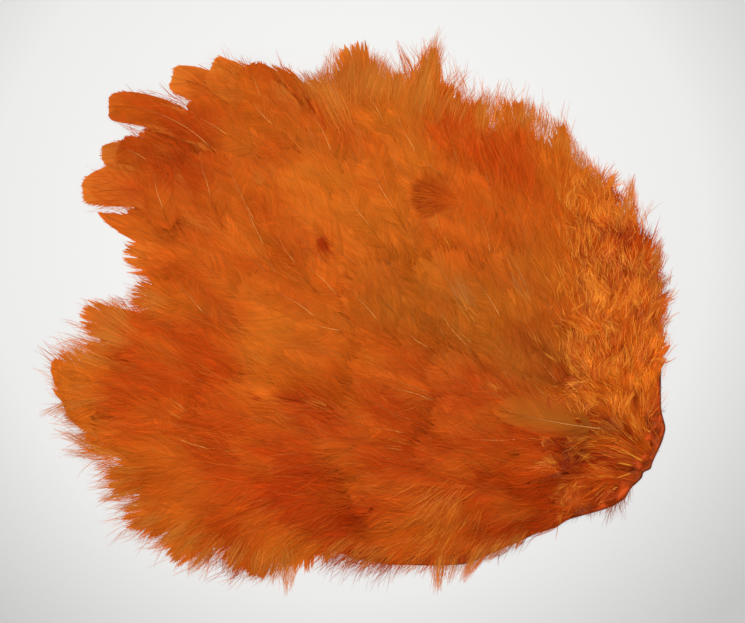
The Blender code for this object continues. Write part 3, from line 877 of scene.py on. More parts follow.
def area_light(name, place, size, energy, colour):
    """A square light that looks at the middle of the patch."""
    data = bpy.data.lights.new(name, "AREA")
    data.size = size
    data.energy = energy
    data.color = colour
    made = bpy.data.objects.new(name, data)
    made.location = place
    made.rotation_euler = made.location.to_track_quat("Z", "Y").to_euler()
    bpy.context.scene.collection.objects.link(made)


# The paper's glow: the middle and the pace of its falloff, and its stops with their shades
PAPER_MIDDLE = (0.01, -0.07, 0)
PAPER_FALLOFF = 3.6
PAPER_SHADES = [(0.80, 0.60), (0.66, 0.55), (0.50, 0.285)]
PAPER_BASE = 0.22


def paper_material():
    """White paper whose painted glow fades towards its corners, greyer there, so the patch's shadow is faint.
    """
    made = bpy.data.materials.new("paper")
    made.use_nodes = True
    tree = made.node_tree
    shader = tree.nodes["Principled BSDF"]
    place = tree.nodes.new("ShaderNodeTexCoord")
    fitted = tree.nodes.new("ShaderNodeMapping")
    fitted.inputs["Location"].default_value = PAPER_MIDDLE
    fitted.inputs["Scale"].default_value = (PAPER_FALLOFF, PAPER_FALLOFF, 1)
    falloff = tree.nodes.new("ShaderNodeTexGradient")
    falloff.gradient_type = "SPHERICAL"
    ramp = tree.nodes.new("ShaderNodeValToRGB")
    ramp.color_ramp.elements.new(0.5)
    for stop, (position, shade) in zip(ramp.color_ramp.elements, reversed(PAPER_SHADES)):
        stop.position = position
        stop.color = (shade, shade * 1.005, shade, 1)
    tree.links.new(place.outputs["Object"], fitted.inputs["Vector"])
    tree.links.new(fitted.outputs["Vector"], falloff.inputs["Vector"])
    tree.links.new(falloff.outputs["Fac"], ramp.inputs["Fac"])
    tree.links.new(ramp.outputs["Color"], shader.inputs["Emission Color"])
    shader.inputs["Emission Strength"].default_value = 1.0
    shader.inputs["Base Color"].default_value = (PAPER_BASE, PAPER_BASE, PAPER_BASE, 1)
    shader.inputs["Roughness"].default_value = 0.9
    shader.inputs["Specular IOR Level"].default_value = 0.0
    return made


def studio():
    world = bpy.data.worlds.new("studio")
    bpy.context.scene.world = world
    world.use_nodes = True
    background = world.node_tree.nodes["Background"]
    background.inputs["Color"].default_value = (1.0, 0.99, 0.98, 1)
    background.inputs["Strength"].default_value = 0.38
    area_light("key", (-0.04, 0.10, 0.8), 0.45, 6.2, (1.0, 0.985, 0.96))
    area_light("fill", (0.2, -0.25, 0.8), 0.7, 1.0, (1.0, 1.0, 1.0))
    bpy.ops.mesh.primitive_plane_add(size=3.0, location=(0, 0, -0.0002))
    floor = bpy.context.object
    floor.name = "floor"
    floor.data.materials.append(paper_material())
    bpy.context.scene.view_settings.view_transform = "Standard"


camera()
studio()

# The feathers that stand for the solids

rim = [(x, y, length, width) for x, y, _, length, width in RIM_FEATHERS]
rows = [rim] + inner_feathers()
pile = tops_of("skin")
covers = [blanket(pile)]
solid_feathers = []
for row, found in enumerate(rows):
    prefix = f"row{row}" if row else "rim"
    for number, (x, y, length, width) in enumerate(found, 1):
        node = f"{prefix}_feather_{number:02d}"
        pile = np.maximum(pile, tops_of(node))
        points = traced_back((x, y), length, along_the_lie)
        slightly_inside = points * 0.999 + points.mean(0) * 0.001
        heights = np.array([height_on(node, *place) for place in slightly_inside], float)
        known = ~np.isnan(heights)
        heights = np.interp(np.arange(len(points)), np.arange(len(points))[known], heights[known])
        vanes = RIM_VANES[number - 1] if row == 0 else (1.0, 1.0, 0.0)
        solid_feathers.append((node, row, points, heights, width, vanes))
    covers.append(blanket(pile))


def shortened(points, heights, distance):
    """The line without its last stretch, or with a straight stretch added where the distance is negative."""
    run = distances_along(points)
    if distance < 0:
        added = (points[-1] - points[-2]) / (run[-1] - run[-2]) * -distance
        return np.concatenate([points[:-1], [points[-1] + added]]), heights
    even = np.linspace(0, run[-1] - distance, len(points))
    return spread_evenly(points, run, even), np.interp(even, run, heights)


# The highest that anything reaches over each cell, from a little above the skin
highest = np.where(covers[0] > 0.5, covers[0] + 0.4, 0.0)


def lay_over(shape):
    """Raises the cells' heights to a shape's."""
    cell = np.clip(((shape[0][:, :2] - LOW) / CELL + 0.5).astype(int), 0, COUNT - 1)
    np.maximum.at(highest, (cell[:, 0], cell[:, 1]), shape[0][:, 2])


for node, row, points, heights, width, (left, right, shortening) in solid_feathers:
    points, heights = shortened(points, heights, shortening)
    looseness, dusk = look_at(points[-3])
    looseness = looseness if row == 0 else max(looseness, CLOSED)
    blunt = ROUND_TIPS.get(node, 5.0) if looseness < CLOSED else 3.4 - 1.2 * looseness
    shape = feather(
        Line(points, heights, covers[row]), width * 1.1, looseness, random.normal(0, 0.07),
        dusk * random.uniform(0.4, 1.3), gilt=0.1 if row else 0.5, shares=(left, right), blunt=blunt,
        pale=0.15, spacing=BARB_SPACING if row else RIM_BARB_SPACING, ragged=0.4 if row else 1.0,
    )
    lay_over(shape)
    piece(f"{node}_barbs", shape, dyed, node)

# The feathers between those of the solids

CLEAR_OF_SHAFTS = 4.5  # no other feather's tip comes closer to a shaft that stands out
CLOSEST = 4.5  # between two feathers' tips near the head end
CLOSEST_SHARE = 0.085  # the same farther out, as a share of the distance from the head end
STEPS_BACK = 8
RING_STEP = 0.055  # between rings of feathers, as a share of the way from the head end to the rim
TURN_STEP = 0.02  # in radians, between the places that a ring tries
GROUP_COUNT = 6
ALL_SHARES = [1.0] + ROW_SHARES
# The rim's tips as turns about the head end, which start below it, and distances from it
rim_tips = np.array([(x, y) for x, y, _, _ in rim])
rim_turns = np.mod(np.arctan2(*(rim_tips - HEAD).T[::-1]) + math.pi / 2, 2 * math.pi)
order = np.argsort(rim_turns)
rim_turns = rim_turns[order]
rim_reach = np.linalg.norm(rim_tips - HEAD, axis=1)[order]


def rim_distance(turn):
    return np.interp(turn, rim_turns, rim_reach)


def share_of(tip):
    """How far out the tip is, as a share of the way from the head end to the rim."""
    away = np.asarray(tip) - HEAD
    turn = np.mod(math.atan2(away[1], away[0]) + math.pi / 2, 2 * math.pi)
    return float(np.linalg.norm(away) / rim_distance(turn))


def stacked(points, extra):
    """A centreline that lies on the solid rows farther out than its tip."""
    share = share_of(points[-1])
    passed = max(sum(share < row_share for row_share in ALL_SHARES), 1)
    above, below = ALL_SHARES[passed - 1], (ALL_SHARES + [0.0])[passed]
    depth = np.clip((above - share) / (above - below), 0, 1)
    heights = np.full(len(points), 0.1 + 0.6 * depth + extra)
    return Line(points, heights, covers[passed - 1], covers[passed])


def beside_a_shaft(tip):
    for ax, ay, bx, by, _ in SHAFTS:
        one, other = np.array((ax, ay)), np.array((bx, by))
        share = np.clip((tip - one) @ (other - one) / ((other - one) @ (other - one)), 0, 1)
        if np.linalg.norm(one + (other - one) * share - tip) < CLEAR_OF_SHAFTS:
            return True
    return False


def inside_skin(points):
    """The line without the part that would start beyond the skin's edge, its points spread evenly again."""
    on_skin = inside(points, SKIN_OUTLINE)
    kept = points[int(np.argmax(on_skin)):] if on_skin.any() else points
    run = distances_along(kept)
    return spread_evenly(kept, run, np.linspace(0, run[-1], VANE_SEGMENTS + 1))


def through(root, tip, back, onwards):
    """A line through the root and the tip that bends to the lie of the barbs behind the root."""
    seen = np.linalg.norm(tip - root)
    direction = (tip - root) / seen
    bow = turned(direction, math.pi / 2) * seen * random.choice((-1, 1)) * random.uniform(0.02, 0.06)
    points = [root]
    for k in range(1, STEPS_BACK + 1):
        turn = direction * (1 - 0.06 * k) + along_the_barbs(points[-1]) * 0.06 * k
        points.append(points[-1] - turn / np.linalg.norm(turn) * back / STEPS_BACK)
    beyond = [tip + direction * onwards / 2 - bow * 0.6, tip + direction * onwards - bow * 1.5]
    return np.array(points[::-1] + [root * 0.5 + tip * 0.5 + bow, tip] + beyond)


groups = {}
taken = [points[-1] for _, _, points, _, _, _ in solid_feathers]


def add_to_group(points, shape):
    lay_over(shape)
    groups.setdefault(int(min(share_of(points[-1]), 0.99) * GROUP_COUNT), []).append(shape)


for ax, ay, bx, by, width in SHAFTS:
    root, tip = np.array((ax, ay), float), np.array((bx, by), float)
    seen = np.linalg.norm(tip - root)
    length = min(max(2.2 * seen, 1.7 * width), 46)
    onwards = 0.22 * length
    points = inside_skin(through(root, tip, max(length - seen - onwards, 4), onwards))
    length = np.linalg.norm(np.diff(points, axis=0), axis=1).sum()
    looseness, dusk = look_at(points[-3])
    shape = feather(
        stacked(points, 0.5), width, min(max(looseness, CLOSED), 0.5), random.normal(0, 0.06), dusk,
        blunt=3.2 - looseness, pale=0.85, bare=(1 - (onwards + seen) / length, 1 - onwards / length),
    )
    add_to_group(points, shape)
    taken.append(points[-1])

for share in np.arange(0.95, 0.1, -RING_STEP):
    for turn in np.arange(rim_turns[0], rim_turns[-1], TURN_STEP) + random.random() * TURN_STEP:
        distance = (share + random.normal(0, 0.01)) * rim_distance(turn)
        tip = HEAD + distance * unit(turn - math.pi / 2)
        spacing = max(CLOSEST, CLOSEST_SHARE * distance)
        if min(np.linalg.norm(tip - other) for other in taken) < spacing or beside_a_shaft(tip):
            continue
        length = min(max(LENGTH_SHARE * distance, SHORTEST), LONGEST) * random.uniform(0.85, 1.1)
        points = inside_skin(traced_back(tip, length, along_the_barbs))
        looseness, dusk = look_at(points[-3])
        closed_rim = share > 0.87 and looseness < 0.35
        upper_right_rim = share > 0.87 and tip[0] > 46 and tip[1] > 0
        lower_right_rim = share > 0.8 and tip[0] > 30 and tip[1] < 0
        past_the_edge = inside(points[-3:] - (0, 4), CLEARED).any()
        if closed_rim or upper_right_rim or lower_right_rim or past_the_edge:
            continue
        taken.append(tip)
        looseness = float(np.clip(looseness + random.normal(0, 0.06), CLOSED, 1))
        width = min(WIDTH_SHARE * length, WIDEST) * random.uniform(0.75, 1.0)
        shape = feather(
            stacked(points, random.random() * 0.25), width, looseness, random.normal(0, 0.08),
            dusk * random.uniform(0.2, 1.5), gilt=0.12, blunt=3.2 - looseness, first=0.5,
            pale=0.5 * random.random() ** 2, bare=(0.5, 0.9),
        )
        add_to_group(points, shape)

for number, shapes in sorted(groups.items()):
    piece(f"feathers_between_{number}", joined(shapes), dyed)

# Single feathers that stand out

top = covers[-1]


def curved(tip, heading, length, bend):
    """Points from the root to the tip of a line that ends in the heading. It and the bend are in degrees."""
    steps = np.linspace(0, 1, VANE_SEGMENTS + 1)[1:]
    turn = math.radians(heading) - math.radians(bend) * (1 - steps)
    path = np.concatenate([[(0, 0)], np.cumsum(unit(turn) * length / VANE_SEGMENTS, 0)])
    return np.array(tip) + path - path[-1]


def single_feather(name, line, width, dye, looseness, blunt, pale=0.2, bare=(0.0, 1.0)):
    shape = feather(line, width, looseness, 0.0, 0.0, 0.15, dye, blunt=blunt, pale=pale, bare=bare)
    lay_over(shape)
    piece(name, shape, dyed)


# Name, line, height over the cover, width, dye, looseness, bluntness, cover
SINGLE_FEATHERS = [
    ("pointed_rim_feather", curved((-68.2, 25.9), 155, 36, -16), 0.4, 7.2, None, 0.25, 1.5, covers[0]),
    ("notch_feather", curved((-57.8, 46.0), 160, 38, 6), 0.3, 11, RUST, 0.2, 2.4, covers[0]),
    ("inner_notch_feather", curved((-50.0, 45.5), 152, 32, 0), 0.35, 13, RUST, 0.3, 2.4, covers[0]),
    ("curled_rim_feather", curved((-79.4, -12.2), 108, 25, -26), 0.3, 6.0, None, 0.45, 2.0, covers[1]),
    ("low_rim_feather", curved((-60.6, 25.6), 172, 32, 0), 0.3, 9.5, None, 0.3, 2.4, covers[0]),
    ("split_rim_feather", curved((-71.0, -9.0), 152, 38, 8), 0.3, 11, None, 0.6, 2.0, covers[0]),
    ("lower_left_feather", curved((-54.6, -58.6), 213, 36, 6), 0.4, 12, None, 0.8, 1.6, covers[0]),
    ("low_feather", curved((-32.0, 50.0), 140, 40, -10), 0.3, 16, None, 0.3, 2.4, covers[1]),
    ("lower_feather", curved((-33.0, 38.0), 150, 34, 0), 0.3, 16, None, 0.3, 2.4, covers[0]),
    ("hidden_feather", curved((3.5, 28.0), 118, 30, 0), 0.3, 15, None, 0.4, 2.4, covers[2]),
    ("second_bright_feather", curved((5.5, 57.0), 112, 36, -8), 0.5, 14, None, 0.45, 2.6, covers[1]),
    ("bright_feather", curved((-1.4, 57.5), 132, 32, -10), 0.5, 12, GOLD * 1.05, 0.25, 2.6, top),
    ("upper_middle_feather", curved((10.5, 18.0), 116, 28, 0), 0.3, 13, None, 0.4, 2.4, top),
    ("middle_feather", curved((1.5, 49.5), 114, 30, 0), 0.3, 13, None, 0.45, 2.4, top),
    ("left_middle_feather", curved((-29.0, 31.5), 138, 28, 0), 0.3, 13, None, 0.35, 2.4, top),
]
for name, points, height, width, dye, looseness, blunt, over in SINGLE_FEATHERS:
    line = Line(points, np.full(len(points), height), covers[0], over)
    single_feather(name, line, width, dye, looseness, blunt)
line = stacked(curved((-65.4, 53.6), 180, 32, 52), 0.5)
single_feather("curved_rim_feather", line, 8.6, None, 0.1, 5.0, 0.6, (0.1, 0.7))

# From here on, everything lies on the feathers
surface = blanket(highest, 1, 0.9)
points = curved((34.5, -25.2), 168, 30, -4)
line = Line(points, np.linspace(1.0, 0.3, len(points)), surface, surface)
shape = feather(
    line, 15.0, 0.36, -0.06, 0, 0, KHAKI, shares=(0.55, 1.0), blunt=1.7, first=0.3, pale=0.8,
    bare=(0.05, 0.7),
)
piece("smooth_khaki_feather", shape, dyed)

# The loose down

# Matted short locks between the neck and the right edge: crests painted golden as highlights, and gaps
# painted deep red as shade
MATTED = [
    (77.4, -14), (79.2, -5), (79.4, 6), (75.8, 15), (72.4, 22), (68.4, 30), (61, 38), (54, 44), (52, 38),
    (58, 32), (58, 12), (57, 0), (54, -14), (54, -24), (50, -32), (50, -42), (54, -52.5), (61, -50.8),
    (68.5, -45), (72.8, -39.5), (75.6, -33), (76.6, -28), (76.6, -20),
]
CALM_CORNER = (74, -38)  # near here the matted down lies straight and long
FEATHERED = 1.0  # where the surface is higher, feathers lie


def scattered(low, high, count):
    return random.uniform(low, high, (count, 2))


def by_chance(points, share):
    return random.random(len(points)) < share


def on_feathers(points):
    return sampled(surface, points) > FEATHERED


def in_matted(points, blur=2.5):
    return inside(points + random.normal(0, blur, points.shape), MATTED)


def on_bare_skin(points):
    return inside(points, BARE) & by_chance(points, 0.95)


def hangs_over(points, reach):
    """Whether hairs from these places would reach into the cleared outline. A few are let through."""
    return inside(ahead(points, reach), CLEARED) & by_chance(points, 0.93)


def out_of_the_way(points, reach):
    """Whether hairs from these places keep off the matted down, the bare skin and the cleared outline."""
    return ~in_matted(points) & ~on_bare_skin(points) & ~hangs_over(points, reach)


def over_a_slit(points, reach=2.6):
    """Whether hairs from these places would hide one of the slits in the skin. A few are let through."""
    found = np.zeros(len(points), bool)
    for share in (0, 0.33, 0.67, 1):
        places = points + along_the_barbs(points) * reach * share
        for x, y, heading, length in SLITS:
            away = places - (x, y)
            along = away @ unit(math.radians(heading))
            aside = away @ unit(math.radians(heading + 90))
            found |= (np.abs(along) < length / 2 + 0.3) & (np.abs(aside) < 0.9)
    return found & by_chance(points, 0.9)


def calm_at(points):
    """How freely the matted down curls: little near the calm corner, and fully 18 mm away from it."""
    return np.clip((np.linalg.norm(points - CALM_CORNER, axis=1) - 4) / 14, 0.15, 1)


def strip(x, y, heading, length, width, count, aside, along):
    """Places about the middle of a strip, and its heading in radians."""
    turn = math.radians(heading)
    across = turned(unit(turn), math.pi / 2)
    starts = np.array((x, y)) + across * (random.normal(0, aside, (count, 1)) * width)
    return starts + unit(turn) * random.normal(0, along, (count, 1)) * length, turn


flow = Wander(5.0)
curl = Wander(2.0)
points = scattered((34, -58), (82, 36), 15000)
points = points[in_matted(points, 1.5) & ~hangs_over(points, 3.5) & ~over_a_slit(points)]
count = len(points)
tone = np.clip(1.02 + 0.34 * Wander(3.6)(points) + jittered(0.13, count), 0.35, 1.4)[:, None]
deeper = dye_at(points) * tone**0.8 * np.concatenate([np.ones((count, 1)), tone, tone], 1)
# Painted highlights: some strands' tips turn pale gold
painted_shine = np.where(by_chance(points, 0.22), 0.8, 0.0)[:, None] * np.clip(tone - 0.4, 0, 1)
calm = calm_at(points)
turns = (0.6 * flow(points) + 0.3 * curl(points) + jittered(0.1, count)) * calm
shape = strands(
    surface, points, heading_at(points) + turns, deeper * 0.9, deeper * (1 - painted_shine) + GOLD_AND_HIGHLIGHT * 1.1 * painted_shine,
    length=(2.5, 5.5), bend=0.4, wave=(0.02, 0.15), low=(-0.3, 0.2), high=(0.05, 0.35), width=(0.12, 0.24),
    stretch=1.7 - 0.7 * calm, calm=calm, points=5, roll=0.3,
)
piece("matted_down", shape, glossy)

points = scattered((36, -58), (80, 34), 900)
points = points[in_matted(points, 2.0) & ~hangs_over(points, 3.5) & ~over_a_slit(points)]
count = len(points)
painted_highlight = np.clip(0.3 + 0.45 * Wander(4.0)(points) + jittered(0.25, count), 0, 1)[:, None]
local = dye_at(points)
calm = calm_at(points)
turns = (0.5 * flow(points) + 0.4 * curl(points) + jittered(0.1, count)) * calm
# Painted shade and highlights: the locks' sides deep red, their crests golden
shape = locks(
    surface, points, heading_at(points) + turns,
    local * (0.7, 0.5, 0.5), local * (1 - 0.7 * painted_highlight) + GOLD_AND_HIGHLIGHT * 0.75 * painted_highlight,
    spread(2.5, 5.5, count) * (1.6 - 0.6 * calm), spread(0.6, 1.5, count), spread(0.6, 1.8, count),
    spread(0.2, 0.6, count), jittered(0.7, count) * calm, 11, 0.12,
)
piece("matted_locks", shape, glossy)

# Barbs painted bright as highlights, in and beside the matted down
painted_highlight_areas = [((54, 14), (66, 34), 90), ((50, -12), (72, 14), 110), ((54, -34), (80, 30), 420)]
points = np.concatenate([scattered(low, high, count) for low, high, count in painted_highlight_areas])
points = points[(inside(points, MATTED) | (points[:, 0] < 58)) & ~over_a_slit(points)]
count = len(points)
shape = strands(
    surface, points, heading_at(points) + 0.4 * flow(points) + 0.3 * curl(points) + jittered(0.2, count),
    np.repeat([GOLD_AND_HIGHLIGHT * 1.05], count, 0), np.repeat([BLAZE], count, 0), length=(2, 5.5), bend=0.3,
    wave=(0, 0.15), low=(0.3, 0.6), high=(0.2, 0.6), width=(0.06, 0.13), roll=0.2,
)
piece("painted_highlight_barbs", shape, glossy)

# The glossy golden bunch over the lower edge, with painted glints on its paler strands
points = scattered((16, -62), (40, -42), 4200)
points = points[by_chance(points, np.exp(-((points - (24.0, -52.5)) ** 2 / (26, 34)).sum(1)))]
count = len(points)
# Painted glints: the more shine a strand has, the paler gold it is
painted_shine = random.random((count, 1)) ** 2
headings = np.radians(240) + (points[:, 0] - 30) * 0.03 + 0.2 * flow(points) + jittered(0.08, count)
shape = strands(
    surface, points, headings, EMBER * 0.8 * (1 - painted_shine) + GOLD * painted_shine,
    ORANGE * 0.9 * (1 - painted_shine) + GOLD_AND_HIGHLIGHT * 1.15 * painted_shine, length=(4, 10), bend=0.2, wave=(0.02, 0.12),
    low=(0.0, 0.4), high=(0.1, 0.5), width=(0.07, 0.14), roll=0.4,
)
piece("golden_bunch", shape, glossy)

# Soft tufts where the barbs are loose and long
points = scattered((-82, -70), (76, 66), 2600)
wanted = by_chance(points, (sampled(looks, points)[:, 3] - 0.35) * 1.3) & (sampled(surface, points) > 2.0)
wanted &= on_feathers(ahead(points, 8)) | by_chance(points, 0.12)
points = points[wanted & out_of_the_way(points, 7.0)]
count = len(points)
local = dye_at(points)
# Painted light and shade: the tufts' sides are darker and their crests lighter
shape = locks(
    surface, points, heading_at(points) + 0.3 * flow(points) + jittered(0.15, count), local * 0.86,
    local * 1.05, spread(5, 11, count), spread(1.2, 2.6, count), spread(0.5, 2.2, count),
    spread(0.1, 0.5, count), jittered(0.2, count), 12, 0.15,
)
piece("soft_tufts", shape, dyed)

# Fine fur over the whole patch
for name, low, high in (("fine_fur_left", (-82, -70), (-8, 70)), ("fine_fur_right", (-8, -70), (80, 70))):
    points = scattered(low, high, 29000)
    loose = sampled(looks, points)[:, 3]
    wanted = on_feathers(points) & by_chance(points, 0.22 + 0.78 * loose)
    wanted &= on_feathers(ahead(points, 4.5)) | by_chance(points, 0.15 * loose)
    points = points[wanted & out_of_the_way(points, 3.0)]
    count = len(points)
    local = dye_at(points)
    loose = sampled(looks, points)[:, 3]
    # Painted highlights: a few strands streak towards pale gold
    painted_streak = np.where(by_chance(points, 0.07 + 0.1 * loose), 0.35, 0.0)[:, None]
    tone = (1 + jittered(1, count) * (0.08 + 0.1 * loose))[:, None]
    side_turn = np.where(by_chance(points, 0.5), 0.3, -0.3) * (1 - loose)
    shape = strands(
        surface, points, heading_at(points) + 0.25 * flow(points) + side_turn + jittered(0.14, count),
        local * tone, (local + (GOLD_AND_HIGHLIGHT - local) * painted_streak) * tone, length=(2.5, 5.0), bend=0.2, wave=(0, 0.06),
        low=(-0.1, 0.05), high=(0.0, 0.2), width=(0.06, 0.14), stretch=0.8 + 0.8 * loose, rise=0.25 + loose,
        points=4, roll=0.25,
    )
    piece(name, shape, dyed)

# Down that drapes over the steps where a feather ends
softened = blanket(highest, 2, 1.8)
points = scattered((-80, -68), (76, 68), 100000)
step = sampled(softened, points) - sampled(surface, points)
wanted = on_feathers(points) & by_chance(points, (step - 0.6) * 0.6) & on_feathers(ahead(points, 3.5))
points = ahead(points[wanted & out_of_the_way(points, 5.0)], -2.5)
count = len(points)
local = dye_at(points) * (1 + jittered(0.07, count))[:, None]
shape = strands(
    softened, points, heading_at(points) + 0.2 * flow(points) + jittered(0.16, count), local * 0.97, local,
    length=(3.5, 7.5), bend=0.15, wave=(0, 0.05), low=(-0.6, -0.2), high=(-0.4, 0.1), width=(0.08, 0.18),
    points=4, roll=0.25,
)
piece("draped_down", shape, dyed)

# Long golden barbs here and there, some tips painted with a gleam
points = scattered((-80, -68), (72, 68), 3400)
points = points[on_feathers(points) & on_feathers(ahead(points, 8)) & out_of_the_way(points, 8.0)]
count = len(points)
local = dye_at(points)
painted_gleam = random.random((count, 1)) ** 1.5 * 0.7
shape = strands(
    surface, points, heading_at(points) + 0.2 * flow(points) + jittered(0.16, count), local * 0.9,
    local * (1 - painted_gleam) + GOLD_AND_HIGHLIGHT * painted_gleam, length=(4, 11), bend=0.2, wave=(0, 0.05), low=(0.0, 0.15),
    high=(0.1, 0.35), width=(0.05, 0.09), roll=0.3,
)
piece("golden_barbs", shape, glossy)

# Fans of barbs painted pale as glints, and painted greyish sheens
PAINTED_GLINT_BARBS = 11
shapes = []
for x, y, fan, length in PAINTED_GLINTS:
    share = np.linspace(-1, 1, PAINTED_GLINT_BARBS)
    starts = np.array((x, y)) + random.normal(0, 0.7, (PAINTED_GLINT_BARBS, 2))
    local = dye_at(ahead(starts, length))
    headings = heading_at(starts) + share * math.radians(fan) * 0.7 + jittered(0.05, PAINTED_GLINT_BARBS)
    shapes.append(strands(
        surface, starts, headings, GOLD_AND_HIGHLIGHT * 0.6 + local * 0.4, local, length=(0.5, 1.2), bend=0.1,
        wave=(0, 0.04), low=(0.2, 0.5), high=(0.1, 0.3), width=(0.05, 0.12), stretch=length,
    ))
for x, y, heading, length, width, count in PAINTED_SHEENS:
    starts, turn = strip(x, y, heading, length, width, count, 0.4, 0.2)
    shapes.append(strands(
        surface, starts, turn + jittered(0.06, count), np.repeat([PAINTED_SHEEN], count, 0), dye_at(starts),
        length=(0.4, 0.9), bend=0.08, wave=(0, 0.03), low=(0.0, 0.2), high=(0.05, 0.2), width=(0.05, 0.11),
        stretch=length, roll=0.2,
    ))
piece("painted_glints_and_sheens", joined(shapes), glossy)

# Dark red barbs in the gaps, painted shade
shapes = []
for x, y, heading, length, width, count in PAINTED_SHADE_PLACES:
    starts, turn = strip(x, y, heading, length, width, count, 0.35, 0.15)
    shade = random.uniform(0.7, 1.6, (count, 1))
    shapes.append(strands(
        surface, starts, turn + jittered(0.14, count), DARK_RED * shade * 1.8,
        (DARK_RED + RUST) * 0.6 * shade, length=(0.4, 1.0), bend=0.15, wave=(0, 0.06), low=(0.1, 0.4),
        high=(0.1, 0.3), width=(0.07, 0.15), stretch=length,
    ))

# A small dark brush of barbs that fans out to the left, back across the others
BRUSH_ROOT = np.array((26.3, 29.0))
count = 340
turn = np.radians(spread(143, 201, count))
reach = 13.0 - 2.5 * np.abs(turn - math.radians(170)) / math.radians(29)
inner = np.where(random.random(count) < 0.3, 0.15, 0.62)
starts = BRUSH_ROOT + random.normal(0, 0.8, (count, 2)) + unit(turn) * (reach * inner)[:, None]
# The dark tips are partly the feather's own dark red underside, partly painted shade
dark = random.random((count, 1)) < 0.55
brush_tips = np.where(dark, DARK_RED * 1.7, ORANGE * random.uniform(0.7, 1.1, (count, 1)))
shapes.append(strands(
    surface, starts, turn + jittered(0.1, count), dye_at(starts) * 0.95, brush_tips, length=(0.6, 1.1),
    bend=0.25, wave=(0, 0.08), low=(0.0, 0.2), high=(0.1, 0.6), width=(0.09, 0.17),
    stretch=reach * (1.02 - inner), roll=0.4,
))
piece("dark_barbs", joined(shapes), dyed)

# Tufts and thin wisps round the rim, with their own draws, so the rim stays as it is when the down changes
random = np.random.default_rng(23)
WIDEST_GAP = 25  # between the tips of two rim feathers with wisps between them
shapes = []
for x, y, heading, length, root_width, tip_width, pairs, bend in RIM_TUFTS:
    place = np.array([(x, y)], float)
    # Painted light and shade: each tuft's crest takes the fringe's colour, its sides are darker
    shapes.append(locks(
        surface, place, np.radians([heading]), dye_at(place) * 0.75 + FRINGE * 0.25, FRINGE,
        np.array([length]), np.array([root_width]), np.array([tip_width]), np.array([0.4]),
        np.radians([bend]), 2 * pairs, 0.1, 0.16, 0.6,
    ))
rim_insets = np.array([max(shortening, 0) for _, _, shortening in RIM_VANES])
for one, other, inset in zip(rim_tips, rim_tips[1:], (rim_insets[:-1] + rim_insets[1:]) / 2):
    gap = np.linalg.norm(other - one)
    if gap > WIDEST_GAP:
        continue
    points = one + (other - one) * random.random((int(gap * 5), 1))
    loose = sampled(looks, points)[:, 3]
    points = points[random.random(len(points)) < (loose - 0.25) * (1 + 0.6 * Wander(3.0)(points))]
    if not len(points):
        continue
    for outline in SHORN:
        points = points[~inside(ahead(points, 3), outline)]
    count = len(points)
    loose = sampled(looks, points)[:, 3]
    points = ahead(points, -(spread(2.5, 8, count) + 0.7 * inset)[:, None])
    local = (dye_at(points) * 0.4 + FRINGE * 0.6) * (1 + jittered(0.1, count))[:, None]
    headings = heading_at(points) + 0.25 * Wander(1.8)(points) + jittered(0.14, count)
    shapes.append(strands(
        surface, points, headings, local, local, length=(4, 9), bend=0.3, wave=(0, 0.1), low=(-0.3, 0.2),
        high=(0.0, 0.5), width=(0.07, 0.14), stretch=0.6 + 0.5 * loose,
    ))
for ax, ay, bx, by, heading, length, count, root_dye, tip_dye in EDGE_HAIRS:
    share = random.random(count)[:, None]
    share = share + 0.04 * np.sin(share * 40)
    starts = np.array((ax, ay)) * (1 - share) + np.array((bx, by)) * share
    shapes.append(strands(
        surface, starts, math.radians(heading) + jittered(0.3, count), np.repeat([root_dye], count, 0),
        np.repeat([tip_dye], count, 0), length=(0.4, 1.2), bend=0.25, wave=(0, 0.05), low=(-0.2, 0.3),
        high=(-0.3, 0.3), width=(0.07, 0.12), stretch=length,
    ))
piece("rim_wisps", joined(shapes), dyed)

# The dried skin

# The skin's own edge, with the small corners of the head end
SKIN_EDGE = [
    (79.0, -10.0), (78.9, -15.2), (78.9, -25.7), (80.2, -30.3), (79.2, -34.0), (76.7, -39.2), (76.3, -40.9),
    (74.3, -41.8), (74.0, -43.2), (73.0, -44.2), (71.0, -46.0), (69.8, -48.4), (67.0, -50.3), (63.6, -51.6),
    (57.0, -53.4), (52.6, -54.8), (42.0, -59.8), (34.5, -63.0), (28.5, -65.6), (21.5, -66.0), (5.0, -65.6),
] + SKIN_OUTLINE[10:]
SKIN_MIDDLE = np.array((28.0, -12.0))
SKIN_GROWTH = 1.014  # brings out the edge, which smoothing draws in
SKIN_TOP = 1.0
# How far in each ring of the edge lies and how high: the underside first, then round the edge
EDGE_RINGS = [(1.2, 0.0), (0.4, 0.0), (0.0, 0.3), (0.02, 0.75), (0.3, 1.15)]
# How far in the rings of the top lie, which follow the wrinkles
TOP_RINGS = np.concatenate([np.arange(0.8, 16, 0.5), np.arange(17, 26, 3)])
# Stout golden quills left standing near the edge: x and y of the root, heading, length
QUILLS = [
    (76.7, -31.6, 150, 5.6), (74.2, -32.6, 145, 3.0), (74.6, -39.1, 152, 6.3), (71.9, -40.3, 170, 4.0),
    (71.5, -42.4, 197, 3.8), (76.7, -26.1, 139, 3.6), (75.6, -22.5, 128, 3.2), (68.0, -46.0, 205, 4.0),
]


